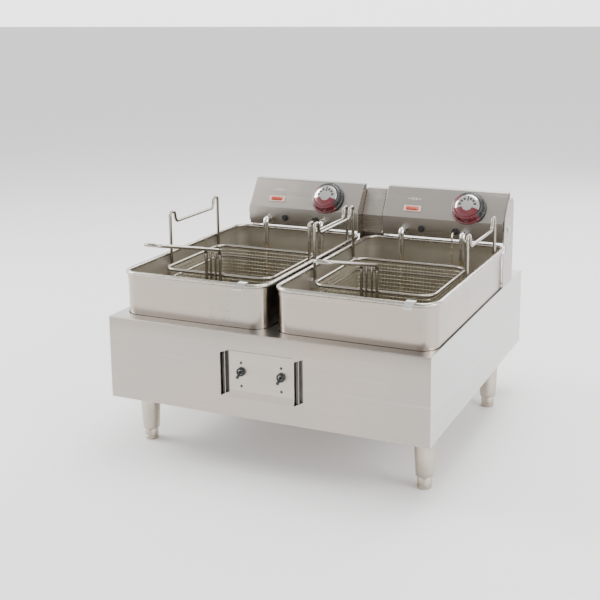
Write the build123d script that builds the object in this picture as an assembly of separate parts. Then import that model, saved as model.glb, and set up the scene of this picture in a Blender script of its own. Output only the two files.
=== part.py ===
from build123d import *
import os

# Twin electric counter-top deep fryer.  Millimetres, +Z up, +Y towards the back.
# The numbers below are measured from the middle of the cabinet, with the floor at z = 0.
# save() moves everything so that the origin lies under the middle of the whole object.

# ---------------------------------------------------------------- driving dimensions
CABINET_W = 609.6
CABINET_D = 609.6
CABINET_H = 152.4
LEG_H = 105.0
SHEET = 1.5
GAP = 0.3

UNIT_X = {"left": -147.5, "right": 157.5}   # middle of each pot
RAIL_SETS = {"left": (-118.0, 416.0, 395.0), "right": (-68.0, 405.0, 383.0)}  # start y, top z, bar z

POT_HALF_W = 143.5
POT_FRONT, POT_BACK = -278.0, 178.0
POT_RIM_Z = 338.0
POT_DEPTH = 200.0
POT_WALL = 2.0
POT_CORNER = 30.0
RIM_R = 4.0

HEAD_LEFT, HEAD_RIGHT = -110.0, 140.0       # from the pot's middle
HEAD_FACE_Y, HEAD_CREASE_Z, HEAD_BOTTOM_Z = 168.0, 382.0, 343.0
HEAD_TOP_Y, HEAD_TOP_Z, HEAD_BACK_Y = 205.0, 437.0, 222.0
PIVOT_Y, PIVOT_Z, PIVOT_R = 184.0, 368.0, 4.0
CHEEK_X = 145.8                             # inner face of the outer cheek
FIT = 0.05

ELEMENT_R = 4.75
ELEMENT_LEGS = (-63.0, 64.0)
ELEMENT_Z = 190.0
PORT_Z = 358.0
GUARD_Z = 211.0
BULB_Z = 198.0                              # the sensor's bulb lies over the element

BASKET_HALF_W = 110.0
BASKET_FRONT, BASKET_BACK = -188.0, 28.0
BASKET_TOP, BASKET_BOTTOM = 323.0, 213.4
WIRE_R = 3.0
HANDLE_TIP_Y, HANDLE_TIP_Z = -401.0, 423.0
HANDLE_ROOT_Z = 371.0
HANDLE_HALF = 14.5

DIAL_X, DIAL_S, DIAL_R = 67.0, 27.0, 35.0   # place along the sloped face, radius
LENS_X, LENS_S = -49.5, 19.0
RESET_X, SENSOR_X, PORT_FACE_Z = -26.0, 44.5, 360.0

SWITCH_MID_X = 2.0
SWITCH_X = {"left": -36.5, "right": 40.0}
SWITCH_Z = 188.0
OPENING_HALF, OPENING_LOW, OPENING_HIGH = 79.0, 140.0, 225.0
BRACKET_HALF = 62.0
TOGGLE_TILT = 28.0

LEG_X, LEG_FRONT, LEG_BACK = 272.0, -229.0, 180.0
FOOT_R, FOOT_H = 12.8, 22.0

GLAND_X, GLAND_Z, GLAND_OUT = -200.0, 170.0, 22.0

# ---------------------------------------------------------------- derived sizes
BASE = LEG_H
TOP = LEG_H + CABINET_H
HALF_W, HALF_D = CABINET_W / 2, CABINET_D / 2
PIVOT_HEAD = 1.8                            # screw head outside the right cheek
RIGHT_EDGE = UNIT_X["right"] + CHEEK_X + SHEET + PIVOT_HEAD
FRONT_EDGE = HANDLE_TIP_Y - WIRE_R
BACK_EDGE = HALF_D + GLAND_OUT
SHIFT = Pos(-(RIGHT_EDGE - HALF_W) / 2, -(FRONT_EDGE + BACK_EDGE) / 2, 0)
SLOPE_RUN, SLOPE_RISE = HEAD_TOP_Y - HEAD_FACE_Y, HEAD_TOP_Z - HEAD_CREASE_Z
SLOPE_LENGTH = (SLOPE_RUN ** 2 + SLOPE_RISE ** 2) ** 0.5


# ---------------------------------------------------------------- helpers
def save(node, *solids):
    """Write one node, moved into the part's own frame."""
    os.makedirs("parts", exist_ok=True)
    moved = [SHIFT * solid for solid in solids]
    shape = moved[0] if len(moved) == 1 else Compound(children=moved)
    export_step(shape, f"parts/{node}.step")


def block(x0, x1, y0, y1, z0, z1):
    """A box between two corners."""
    return Pos((x0 + x1) / 2, (y0 + y1) / 2, (z0 + z1) / 2) * Box(x1 - x0, y1 - y0, z1 - z0)


def rod_x(x0, x1, y, z, r):
    return Pos((x0 + x1) / 2, y, z) * Rot(0, 90, 0) * Cylinder(r, x1 - x0)


def rod_y(x, y0, y1, z, r):
    return Pos(x, (y0 + y1) / 2, z) * Rot(90, 0, 0) * Cylinder(r, y1 - y0)


def rod_z(x, y, z0, z1, r):
    return Pos(x, y, (z0 + z1) / 2) * Cylinder(r, z1 - z0)


def profile(points, x0, x1):
    """A closed outline in the Y-Z plane, given as (y, z), stretched from x0 to x1."""
    outline = Polyline(*[(x0, y, z) for y, z in points], close=True)
    return extrude(make_face(outline), amount=x1 - x0, dir=(1, 0, 0))


def wire_tube(points, bend, r):
    """A round wire along straight runs joined by bends."""
    path = FilletPolyline(*points, radius=bend)
    return sweep(Plane(path @ 0, z_dir=path % 0) * Circle(r), path=path)


def rounded_slab(x_mid, half_w, y0, y1, z0, z1, corner):
    """A slab with rounded upright corners."""
    sketch = Pos(x_mid, (y0 + y1) / 2, z0) * RectangleRounded(2 * half_w, y1 - y0, corner)
    return extrude(sketch, amount=z1 - z0)


def slope_plane(x, s, out=0.0):
    """A plane on the head's sloped face, s millimetres up from the crease."""
    up_y, up_z = SLOPE_RUN / SLOPE_LENGTH, SLOPE_RISE / SLOPE_LENGTH
    origin = (x, HEAD_FACE_Y + s * up_y - out * up_z, HEAD_CREASE_Z + s * up_z + out * up_y)
    return Plane(origin=origin, x_dir=(1, 0, 0), z_dir=(0, -up_z, up_y))


# ---------------------------------------------------------------- cabinet
def cabinet():
    inner_w, inner_d = HALF_W - SHEET - GAP, HALF_D - SHEET - GAP
    front = block(-HALF_W, HALF_W, -HALF_D, -HALF_D + SHEET, BASE, TOP)
    left_edge, right_edge = SWITCH_MID_X - OPENING_HALF, SWITCH_MID_X + OPENING_HALF
    front -= block(left_edge, right_edge, -HALF_D - 1, -HALF_D + 3, OPENING_LOW, OPENING_HIGH)
    for x in (left_edge - SHEET, right_edge):
        front += block(x, x + SHEET, -HALF_D, -HALF_D + 9, OPENING_LOW, OPENING_HIGH)
    save("front_panel", front)

    for name, x in (("left_side_panel", -HALF_W), ("right_side_panel", HALF_W - SHEET)):
        save(name, block(x, x + SHEET, -inner_d, inner_d, BASE, TOP))

    rear = block(-HALF_W, HALF_W, HALF_D - SHEET, HALF_D, BASE, TOP)
    rear -= rod_y(GLAND_X, HALF_D - 5, HALF_D + 5, GLAND_Z, 10.1)
    save("rear_panel", rear)
    save("bottom_pan", block(-inner_w, inner_w, -inner_d, inner_d, BASE, BASE + SHEET))

    deck = block(-inner_w, inner_w, -inner_d, inner_d, TOP - SHEET, TOP)
    for x in UNIT_X.values():
        deck -= rounded_slab(x, POT_HALF_W + 1.5, POT_FRONT - 1.5, POT_BACK + 1.5,
                             TOP - 5, TOP + 5, POT_CORNER + 1.5)
    save("deck", deck)

    pot_floor = POT_RIM_Z - POT_DEPTH
    bars = []
    for x in UNIT_X.values():
        for y in (-205.0, 95.0):
            bar = block(x - 125, x + 125, y - 20, y + 20, BASE + SHEET, pot_floor - FIT)
            bars.append(bar - block(x - 126, x + 126, y - 18, y + 18, BASE, pot_floor - FIT - 2))
    save("pot_supports", *bars)


def electrics():
    """Contactors, terminal block and inlet gland in the compartment behind the pots."""
    contactors = []
    for x in (60.0, 130.0):
        body = block(x - 26, x + 26, 205, 285, BASE + SHEET, BASE + SHEET + 62)
        body += block(x - 22, x + 22, 215, 275, BASE + SHEET + 62, BASE + SHEET + 82)
        contactors.append(body)
    save("contactors", *contactors)

    terminals = block(-150, -60, 215, 250, BASE + SHEET, BASE + SHEET + 30)
    for step in range(5):
        x = -141 + step * 16.5
        terminals -= block(x - 5, x + 5, 221, 244, BASE + SHEET + 18, BASE + SHEET + 31)
    save("terminal_block", terminals)

    gland = rod_y(GLAND_X, HALF_D, HALF_D + 8, GLAND_Z, 15)
    gland += rod_y(GLAND_X, HALF_D + 8, HALF_D + GLAND_OUT, GLAND_Z, 12)
    gland += rod_y(GLAND_X, HALF_D - 12, HALF_D, GLAND_Z, 10)
    gland -= rod_y(GLAND_X, HALF_D - 13, HALF_D + GLAND_OUT + 1, GLAND_Z, 6)
    save("cable_gland", gland)


def screws():
    heads = []
    for x in (-285, -95, 95, 285):
        for z in (BASE + 12, TOP - 12):
            heads.append(rod_y(x, HALF_D, HALF_D + 2.2, z, 4))
    plate_y = -HALF_D + SHEET + 0.1
    for x in SWITCH_X.values():
        for dz in (-26, 16):
            heads.append(rod_y(x, plate_y - 1.0, plate_y, SWITCH_Z + dz, 2.4))
    save("panel_screws", *heads)


# ---------------------------------------------------------------- switches
def switches():
    face = -HALF_D + SHEET + 0.1
    x0, x1 = SWITCH_MID_X - BRACKET_HALF, SWITCH_MID_X + BRACKET_HALF
    bracket = block(x0, x1, face, face + SHEET, OPENING_LOW - 12, OPENING_HIGH + 12)
    for x in (x0, x1 - SHEET):
        bracket += block(x, x + SHEET, face, face + 14, OPENING_LOW - 12, OPENING_HIGH + 12)
    bodies, nuts = [], []
    for side, x in SWITCH_X.items():
        bracket -= rod_y(x, face - 5, face + 5, SWITCH_Z, 6.05)
        mouth = face - 6.5
        pivot_y = mouth + 3.0
        body = block(x - 8, x + 8, face + SHEET + FIT, face + 19, SWITCH_Z - 15, SWITCH_Z + 15)
        body += rod_y(x, mouth, face + SHEET + FIT, SWITCH_Z, 6)
        funnel = Pos(x, mouth + 6, SWITCH_Z) * Rot(90, 0, 0) * Cone(3.4, 5.4, 12.2)
        bodies.append(body - funnel)
        nut = rod_y(x, face - 4.5, face - FIT, SWITCH_Z, 7.4)
        nuts.append(nut - rod_y(x, face - 6, face + 1, SWITCH_Z, 6.05))
        lever = Pos(0, 0, 8) * Cone(1.9, 3.2, 13) + Sphere(2.4)
        lever = fillet(lever.faces().sort_by(Axis.Z)[-1].edges(), 1.4)
        lever += Rot(0, 90, 0) * Cylinder(1.2, 6.4)
        save(f"{side}_toggle", Pos(x, pivot_y, SWITCH_Z) * Rot(90 + TOGGLE_TILT, 0, 0) * lever)
    save("switch_bracket", bracket)
    save("switch_bodies", *bodies)
    save("switch_nuts", *nuts)


# ---------------------------------------------------------------- legs
def legs():
    sockets = []
    for row, y in (("front", LEG_FRONT), ("rear", LEG_BACK)):
        for side, x in (("left", -LEG_X), ("right", LEG_X)):
            height = BASE - FOOT_H
            socket = Pos(x, y, FOOT_H + height / 2) * Cone(15.5, 20.0, height)
            sockets.append(socket - rod_z(x, y, FOOT_H - 1, FOOT_H + 60, 5 + 0.08))
            pad = fillet(rod_z(x, y, 0, FOOT_H, FOOT_R).edges(), 1.5)
            save(f"{row}_{side}_foot", pad + rod_z(x, y, FOOT_H - 1, FOOT_H + 45, 5))
    save("leg_sockets", *sockets)


# ---------------------------------------------------------------- pots
def pot(side, x):
    floor = POT_RIM_Z - POT_DEPTH
    wall_top = POT_RIM_Z - RIM_R
    shell = rounded_slab(x, POT_HALF_W, POT_FRONT, POT_BACK, floor, wall_top, POT_CORNER)
    shell = fillet(shell.faces().sort_by(Axis.Z)[0].edges(), 18)
    hollow = rounded_slab(x, POT_HALF_W - POT_WALL, POT_FRONT + POT_WALL, POT_BACK - POT_WALL,
                          floor + POT_WALL, POT_RIM_Z + 5, POT_CORNER - POT_WALL)
    hollow = fillet(hollow.faces().sort_by(Axis.Z)[0].edges(), 16)
    bead = rounded_slab(x, POT_HALF_W + RIM_R, POT_FRONT - RIM_R, POT_BACK + RIM_R,
                        POT_RIM_Z - 2 * RIM_R, POT_RIM_Z, POT_CORNER + RIM_R)
    bead -= rounded_slab(x, POT_HALF_W - RIM_R, POT_FRONT + RIM_R, POT_BACK - RIM_R,
                         POT_RIM_Z - 20, POT_RIM_Z + 5, POT_CORNER - RIM_R)
    bead = fillet(bead.faces().sort_by(Axis.Z)[0].edges(), 2.8)
    bead = fillet(bead.faces().sort_by(Axis.Z)[-1].edges(), 2.8)
    save(f"{side}_pot", (shell - hollow) + bead)


def pot_tab(x):
    """The bent tab that hooks over the front rim."""
    inner, outer, top = POT_FRONT + RIM_R + GAP, POT_FRONT - RIM_R - GAP, POT_RIM_Z + GAP
    points = [(inner, POT_RIM_Z - 24), (inner, top), (outer, top), (outer - 16, top - 7),
              (outer - 16.6, top - 5.6), (outer + 0.3, top + SHEET),
              (inner + SHEET, top + SHEET), (inner + SHEET, POT_RIM_Z - 24)]
    return profile(points, x + 96, x + 112)


def pot_rails(side, x):
    """Two bent wires, which lift the pot and carry a draining basket, and their clips."""
    wires, clips = [], []
    offset = POT_HALF_W - RIM_R - WIRE_R - 0.6
    foot = POT_RIM_Z - 42
    for wall, (y, top, bar) in RAIL_SETS.items():
        wx = x + (offset if wall == "right" else -offset)
        end = y + 188
        points = [(wx, y, foot), (wx, y, top), (wx, y + 16, top), (wx, y + 21, bar),
                  (wx, end - 21, bar), (wx, end - 16, top), (wx, end, top), (wx, end, foot)]
        wires.append(wire_tube(points, [7.0, 7.0, 9.0, 9.0, 7.0, 7.0], WIRE_R))
        inner_face = x + (POT_HALF_W - POT_WALL - FIT) * (1 if wall == "right" else -1)
        low, high = sorted((wx - (5 if wall == "right" else -5), inner_face))
        for cy in (y, end):
            clip = block(low, high, cy - 7, cy + 7, foot + 2, foot + 16)
            clips.append(clip - rod_z(wx, cy, foot - 5, foot + 30, WIRE_R + FIT))
    save(f"{side}_pot_rails", *wires)
    return clips


# ---------------------------------------------------------------- hinge supports
def cheek(x):
    """The plate on the right of a head, standing on the edge of the deck."""
    outline = [(148, TOP), (148, POT_RIM_Z - 11), (164, POT_RIM_Z - 11), (164, POT_RIM_Z + 4),
               (150, POT_RIM_Z + 4), (154, 394), (176, 424), (186, 428), (212, 428), (223, 418),
               (222, TOP)]
    plate = profile(outline, x + CHEEK_X, x + CHEEK_X + SHEET)
    plate += block(x + CHEEK_X - 18, x + CHEEK_X + SHEET, 186, 222, TOP, TOP + SHEET)
    return plate - rod_x(x + CHEEK_X - 5, x + CHEEK_X + 5, PIVOT_Y, PIVOT_Z, PIVOT_R + FIT)


def left_bracket(x):
    """The short bracket hidden behind the left edge of a head."""
    x1 = x + HEAD_LEFT - 3.5
    outline = [(188, TOP), (188, HEAD_BOTTOM_Z), (174, HEAD_BOTTOM_Z + 6), (174, 378), (182, 388),
               (216, 388), (222, 382), (222, TOP)]
    plate = profile(outline, x1 - SHEET, x1)
    plate += block(x1 - 18, x1, 188, 222, TOP, TOP + SHEET)
    return plate - rod_x(x1 - 5, x1 + 5, PIVOT_Y, PIVOT_Z, PIVOT_R + FIT)


def centre_post():
    """The fixed post between the heads, which carries the right head's left pivot."""
    x0 = UNIT_X["left"] + CHEEK_X + SHEET + 0.7
    x1 = UNIT_X["right"] + HEAD_LEFT - 4.5
    outer = [(188, TOP), (188, HEAD_BOTTOM_Z), (176, HEAD_BOTTOM_Z), (176, 379), (206, 430),
             (222, 430), (222, TOP)]
    inner = [(188 + SHEET, TOP - 1), (188 + SHEET, HEAD_BOTTOM_Z + SHEET),
             (176 + SHEET, HEAD_BOTTOM_Z + SHEET), (176 + SHEET, 378.6), (207, 430 - SHEET),
             (230, 430 - SHEET), (230, TOP - 1)]
    post = profile(outer, x0, x1) - profile(inner, x0 + SHEET, x1 - SHEET)
    return post - rod_x(x1 - 4, x1 + 4, PIVOT_Y, PIVOT_Z, PIVOT_R + FIT)


def hinge_pins():
    pins = []
    for side, x in UNIT_X.items():
        outer = x + CHEEK_X + SHEET
        pin = rod_x(x + HEAD_RIGHT - 8, outer, PIVOT_Y, PIVOT_Z, PIVOT_R)
        if side == "right":
            pin += rod_x(outer, outer + PIVOT_HEAD, PIVOT_Y, PIVOT_Z, 6.5)
        pins.append(pin)
        pins.append(rod_x(x + HEAD_LEFT - 10, x + HEAD_LEFT + 8, PIVOT_Y, PIVOT_Z, PIVOT_R))
    save("hinge_pins", *pins)


# ---------------------------------------------------------------- swing-up heads
def head(side, x):
    x0, x1 = x + HEAD_LEFT, x + HEAD_RIGHT
    outer = [(HEAD_FACE_Y, HEAD_BOTTOM_Z), (HEAD_FACE_Y, HEAD_CREASE_Z), (HEAD_TOP_Y, HEAD_TOP_Z),
             (HEAD_BACK_Y, HEAD_TOP_Z), (HEAD_BACK_Y, 374), (211, 370), (204, 351),
             (196, HEAD_BOTTOM_Z)]
    t = SHEET
    inner = [(HEAD_FACE_Y + t, HEAD_BOTTOM_Z + t), (HEAD_FACE_Y + t, HEAD_CREASE_Z - 0.5),
             (HEAD_TOP_Y + 0.8, HEAD_TOP_Z - t), (HEAD_BACK_Y + 5, HEAD_TOP_Z - t),
             (HEAD_BACK_Y + 5, 376), (HEAD_BACK_Y - 1, 375.6), (210, 371.4), (202.9, 352),
             (195.2, HEAD_BOTTOM_Z + t)]
    housing = profile(outer, x0, x1) - profile(inner, x0 + t, x1 - t)
    housing -= rod_x(x0 - 5, x1 + 5, PIVOT_Y, PIVOT_Z, PIVOT_R + FIT)
    for leg in ELEMENT_LEGS:
        housing -= rod_y(x + leg, 160, 175, PORT_Z, ELEMENT_R + 0.1)
    for port in (RESET_X, SENSOR_X):
        housing -= rod_y(x + port, 160, 175, PORT_FACE_Z, 4.6)
    housing -= slope_plane(x + DIAL_X, DIAL_S, -8).location * Cylinder(5.5, 30)
    housing -= slope_plane(x + LENS_X, LENS_S, 0).location * Box(25.4, 6.9, 20)
    save(f"{side}_head_housing", housing)

    cover = block(x0 + t + GAP, x1 - t - GAP, HEAD_BACK_Y - t, HEAD_BACK_Y, 377, HEAD_TOP_Z - t - GAP)
    save(f"{side}_head_rear_cover", cover)

    frame = slope_plane(x + LENS_X, LENS_S, 1.0).location
    bezel = frame * Box(36, 13, 2) - frame * Box(25.4, 6.9, 8)
    save(f"{side}_pilot_bezel", bezel)
    save(f"{side}_pilot_lens", slope_plane(x + LENS_X, LENS_S, -2.5).location * Box(25, 6.5, 12))

    body = slope_plane(x + DIAL_X, DIAL_S, -14).location * Box(34, 30, 22)
    bore = slope_plane(x + DIAL_X, DIAL_S, -6).location * Cylinder(3 + 0.06, 16)
    save(f"{side}_thermostat", body - bore)

    limit = block(x + RESET_X - 14, x + RESET_X + 14, 177, 197, 352, 372)
    collar = rod_y(x + RESET_X, HEAD_FACE_Y - 4, HEAD_FACE_Y - FIT, PORT_FACE_Z, 6.6)
    collar -= rod_y(x + RESET_X, 150, 175, PORT_FACE_Z, 4.55)
    save(f"{side}_hi_limit", limit, collar)
    button = rod_y(x + RESET_X, HEAD_FACE_Y - 7.5, HEAD_FACE_Y + 5, PORT_FACE_Z, 4.5)
    save(f"{side}_reset_button", button)


def dial(side, x):
    """A domed control dial with its spindle."""
    skirt = fillet(Cylinder(DIAL_R, 4).edges(), 1.2)
    dome = Pos(0, 0, 8) * Cone(DIAL_R - 3, DIAL_R - 8, 12)
    dome = fillet(dome.faces().sort_by(Axis.Z)[-1].edges(), 5)
    spindle = Pos(0, 0, -9) * Cylinder(3, 15)
    save(f"{side}_dial", slope_plane(x + DIAL_X, DIAL_S, 4.0).location * (skirt + dome + spindle))


def element(side, x):
    """One tubular heater bent into four runs, with its glands, guard and sensor."""
    a, b = x + ELEMENT_LEGS[0], x + ELEMENT_LEGS[1]
    back, front, z = 150.0, -205.0, ELEMENT_Z
    points = [(a, 190, PORT_Z), (a, back, PORT_Z), (a, back, z), (a, back - 40, z),
              (x - 97, back - 75, z), (x - 97, front, z), (x - 34, front, z), (x - 34, 70, z),
              (x + 34, 70, z), (x + 34, front, z), (x + 97, front, z), (x + 97, back - 75, z),
              (b, back - 40, z), (b, back, z), (b, back, PORT_Z), (b, 190, PORT_Z)]
    save(f"{side}_element", wire_tube(points, 13.0, ELEMENT_R))

    glands = []
    for leg in (a, b):
        nut = rod_y(leg, HEAD_FACE_Y - 4.5, HEAD_FACE_Y - FIT, PORT_Z, 8.5)
        glands.append(nut - rod_y(leg, 150, 180, PORT_Z, ELEMENT_R + FIT))
    save(f"{side}_element_glands", *glands)

    guard = None
    for wx in (x - 112, x + 112):
        bar = rod_y(wx, -210, 118, GUARD_Z, 2.4)
        guard = bar if guard is None else guard + bar
    for step in range(9):
        guard += rod_x(x - 112, x + 112, -210 + step * 41, GUARD_Z, 2.0)
    for wx in (x - 97, x + 97):
        for wy in (-169, 36):
            guard += rod_z(wx, wy, ELEMENT_Z + ELEMENT_R + 0.2, GUARD_Z, 2.0)
    save(f"{side}_element_guard", guard)

    sx = x + SENSOR_X
    tube = wire_tube([(sx, HEAD_FACE_Y - 3, PORT_FACE_Z), (sx, 144, PORT_FACE_Z),
                      (sx, 144, BULB_Z), (sx - 40, 110, BULB_Z), (sx - 40, 60, BULB_Z)], 9.0, 1.6)
    grommet = rod_y(sx, HEAD_FACE_Y - 5, HEAD_FACE_Y - FIT, PORT_FACE_Z, 6.6)
    save(f"{side}_sensor", grommet + tube + rod_y(sx - 40, -60, 62, BULB_Z, 3.2))


# ---------------------------------------------------------------- baskets
def basket(side, x):
    mid_y, depth = (BASKET_FRONT + BASKET_BACK) / 2, BASKET_BACK - BASKET_FRONT
    ring = RectangleRounded(2 * BASKET_HALF_W, depth, 24)
    path = Pos(x, mid_y, BASKET_TOP) * ring.wire()
    section = Plane(path @ 0, z_dir=path % 0) * Circle(WIRE_R)
    save(f"{side}_basket_frame", sweep(section, path=path))

    height = BASKET_TOP - WIRE_R - GAP - BASKET_BOTTOM
    top = Pos(x, mid_y, BASKET_TOP - WIRE_R - GAP)
    tray = extrude(top * RectangleRounded(2 * BASKET_HALF_W - 1, depth - 1, 24), -height, taper=6)
    hole = extrude(top * RectangleRounded(2 * BASKET_HALF_W - 5, depth - 5, 22), -height + 2, taper=6)
    save(f"{side}_basket_mesh", tray - hole)

    wall_y = BASKET_FRONT - 2 * WIRE_R - GAP
    left, right = x - HANDLE_HALF, x + HANDLE_HALF
    rise = (HANDLE_TIP_Z - HANDLE_ROOT_Z) / (wall_y - HANDLE_TIP_Y)
    shoulder = (wall_y, HANDLE_ROOT_Z)
    grip = (HANDLE_TIP_Y, HANDLE_ROOT_Z + rise * (wall_y - HANDLE_TIP_Y))
    points = [(left, wall_y + 0.5, 262), (left, *shoulder), (left, *grip),
              (right, *grip), (right, *shoulder), (right, wall_y + 0.5, 262)]
    save(f"{side}_basket_handle", wire_tube(points, 11.0, WIRE_R))


# ---------------------------------------------------------------- build
cabinet()
electrics()
screws()
switches()
legs()
rail_clips = []
for side, x in UNIT_X.items():
    pot(side, x)
    rail_clips += pot_rails(side, x)
    head(side, x)
    dial(side, x)
    element(side, x)
    basket(side, x)
save("rail_clips", *rail_clips)
save("pot_tabs", *[pot_tab(x) for x in UNIT_X.values()])
save("hinge_cheeks", *[cheek(x) for x in UNIT_X.values()], left_bracket(UNIT_X["left"]))
save("centre_post", centre_post())
hinge_pins()
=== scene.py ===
"""The looks of a twin counter-top fryer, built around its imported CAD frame."""
import logging
import math
from dataclasses import dataclass, field
from enum import Enum
from typing import Iterable, Sequence

import bmesh
import bpy
from mathutils import Matrix, Vector


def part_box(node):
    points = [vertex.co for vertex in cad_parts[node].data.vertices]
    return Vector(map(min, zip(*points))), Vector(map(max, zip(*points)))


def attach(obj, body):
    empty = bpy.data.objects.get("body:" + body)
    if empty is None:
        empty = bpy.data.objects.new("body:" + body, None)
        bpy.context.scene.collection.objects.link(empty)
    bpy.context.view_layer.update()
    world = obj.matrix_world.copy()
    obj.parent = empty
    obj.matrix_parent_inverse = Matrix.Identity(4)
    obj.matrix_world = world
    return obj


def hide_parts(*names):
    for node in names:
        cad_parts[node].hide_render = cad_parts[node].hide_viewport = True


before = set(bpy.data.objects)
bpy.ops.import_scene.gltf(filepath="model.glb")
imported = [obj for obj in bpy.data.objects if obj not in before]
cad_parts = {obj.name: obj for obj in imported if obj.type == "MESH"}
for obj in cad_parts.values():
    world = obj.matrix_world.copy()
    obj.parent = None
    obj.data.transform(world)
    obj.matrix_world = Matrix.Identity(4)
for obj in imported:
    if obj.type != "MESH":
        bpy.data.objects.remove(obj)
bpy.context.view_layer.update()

MM = 0.001
SIDES = ("left", "right")
Colour = tuple[float, float, float]
log = logging.getLogger("fryer")


# ------------------------------------------------------------------ shader maths
class Value:
    """One socket of a material, which Python's operators extend with Math nodes."""

    def __init__(self, sheet: "Nodes", socket: bpy.types.NodeSocket) -> None:
        """Keeps the socket and the sheet that it belongs to."""
        self.sheet = sheet
        self.socket = socket

    def _math(self, operation: str, first: "Operand", second: "Operand") -> "Value":
        """Adds one Math node."""
        node = self.sheet.add("ShaderNodeMath", {"operation": operation}, {0: first, 1: second})
        return Value(self.sheet, node.outputs[0])

    def __add__(self, other: "Operand") -> "Value":
        """self + other."""
        return self._math("ADD", self, other)

    __radd__ = __add__

    def __sub__(self, other: "Operand") -> "Value":
        """self - other."""
        return self._math("SUBTRACT", self, other)

    def __rsub__(self, other: "Operand") -> "Value":
        """other - self."""
        return self._math("SUBTRACT", other, self)

    def __mul__(self, other: "Operand") -> "Value":
        """self * other."""
        return self._math("MULTIPLY", self, other)

    __rmul__ = __mul__

    def step(self, low: float, high: float) -> "Value":
        """A smooth step from 0 at low to 1 at high.

        Args:
            low: the value that gives 0.
            high: the value that gives 1, which may be the lower number.

        Returns:
            The stepped value.
        """
        node = self.sheet.add("ShaderNodeMapRange", {"interpolation_type": "SMOOTHSTEP"},
                              {"Value": self, "From Min": low, "From Max": high})
        return Value(self.sheet, node.outputs[0])


Operand = Value | float


class Nodes:
    """The nodes of one tree."""

    def __init__(self, tree: bpy.types.NodeTree) -> None:
        """Takes over a tree and empties it.

        Args:
            tree: the material's or world's node tree.
        """
        self.tree = tree
        self.tree.nodes.clear()

    def add(self, kind: str, settings: dict | None = None,
            inputs: dict | None = None) -> bpy.types.Node:
        """Adds a node.

        Args:
            kind: the node's type.
            settings: its properties, set first, and a ramp's stops of (place, level).
            inputs: values or links for its sockets, by name or number.

        Returns:
            The node.
        """
        node = self.tree.nodes.new(kind)
        for name, setting in (settings or {}).items():
            if name == "stops":
                ramp = node.color_ramp.elements
                while len(ramp) < len(setting):
                    ramp.new(0.5)
                for element, (place, level) in zip(ramp, setting):
                    element.position, element.color = place, (level, level, level, 1)
            else:
                setattr(node, name, setting)
        for name, value in (inputs or {}).items():
            self.feed(node.inputs[name], value)
        return node

    def feed(self, socket: bpy.types.NodeSocket, value: "Operand | Sequence[float]") -> None:
        """Links a Value to a socket, or sets the socket to a number or a colour."""
        if isinstance(value, Value):
            self.tree.links.new(value.socket, socket)
        elif isinstance(value, (int, float)):
            socket.default_value = value
        else:
            parts = tuple(value)
            wants_alpha = len(socket.default_value) == 4 and len(parts) == 3
            socket.default_value = parts + (1.0,) if wants_alpha else parts


class NodeSheet(Nodes):
    """One material and the nodes in it."""

    def __init__(self, name: str) -> None:
        """Makes an empty material with a Principled shader.

        Args:
            name: the material's name.
        """
        self.material = bpy.data.materials.new(name)
        self.material.use_nodes = True
        super().__init__(self.material.node_tree)
        self.shader = self.add("ShaderNodeBsdfPrincipled")
        self.add("ShaderNodeOutputMaterial", inputs={"Surface": Value(self, self.shader.outputs[0])})
        self.place = Value(self, self.add("ShaderNodeTexCoord").outputs["Object"])

    def axis(self, index: int) -> Value:
        """The x, y or z of the place on the surface, in metres."""
        node = self.add("ShaderNodeSeparateXYZ", inputs={0: self.place})
        return Value(self, node.outputs[index])

    def noise(self, stretch: Sequence[float], detail: float = 3.0, seed: float = 0.0,
              rough: float = 0.5) -> Value:
        """Noise with its own frequency along each axis.

        Args:
            stretch: waves per metre along x, y and z.
            detail: octaves.
            seed: moves the pattern.
            rough: how strong the small octaves are.

        Returns:
            The noise, about 0.5.
        """
        scaled = self.add("ShaderNodeVectorMath", {"operation": "MULTIPLY"},
                          {0: self.place, 1: stretch})
        moved = self.add("ShaderNodeVectorMath", {"operation": "ADD"},
                         {0: Value(self, scaled.outputs[0]), 1: (seed, seed * 1.7, seed * 0.6)})
        node = self.add("ShaderNodeTexNoise", inputs={
            "Vector": Value(self, moved.outputs[0]), "Scale": 1.0, "Detail": detail,
            "Roughness": rough})
        return Value(self, node.outputs[0])

    def blend(self, factor: "Operand", first: "Value | Colour",
              second: "Value | Colour") -> Value:
        """Mixes two colours.

        Args:
            factor: 0 gives the first and 1 the second.
            first: a colour or a link.
            second: a colour or a link.

        Returns:
            The mixed colour.
        """
        node = self.add("ShaderNodeMix", {"data_type": "RGBA"}, {0: factor, 6: first, 7: second})
        return Value(self, node.outputs[2])

    def bump(self, height: Value, strength: float, distance: float) -> Value:
        """A normal from a height."""
        node = self.add("ShaderNodeBump", inputs={
            "Height": height, "Strength": strength, "Distance": distance})
        return Value(self, node.outputs[0])

    def finish(self, **inputs: "Operand | Sequence[float]") -> bpy.types.Material:
        """Feeds the shader's sockets.

        Args:
            **inputs: socket names, with underscores for spaces.

        Returns:
            The material.
        """
        for name, value in inputs.items():
            self.feed(self.shader.inputs[name.replace("_", " ")], value)
        return self.material


# ------------------------------------------------------------------ finishes
class Grain(Enum):
    """Which way a brushed sheet's lines run, as waves per metre along x, y and z."""

    LEVEL = (2.5, 2.5, 620.0)
    CROSSWISE = (2.5, 620.0, 2.5)
    SLOPED = (2.5, 420.0, 420.0)


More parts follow.
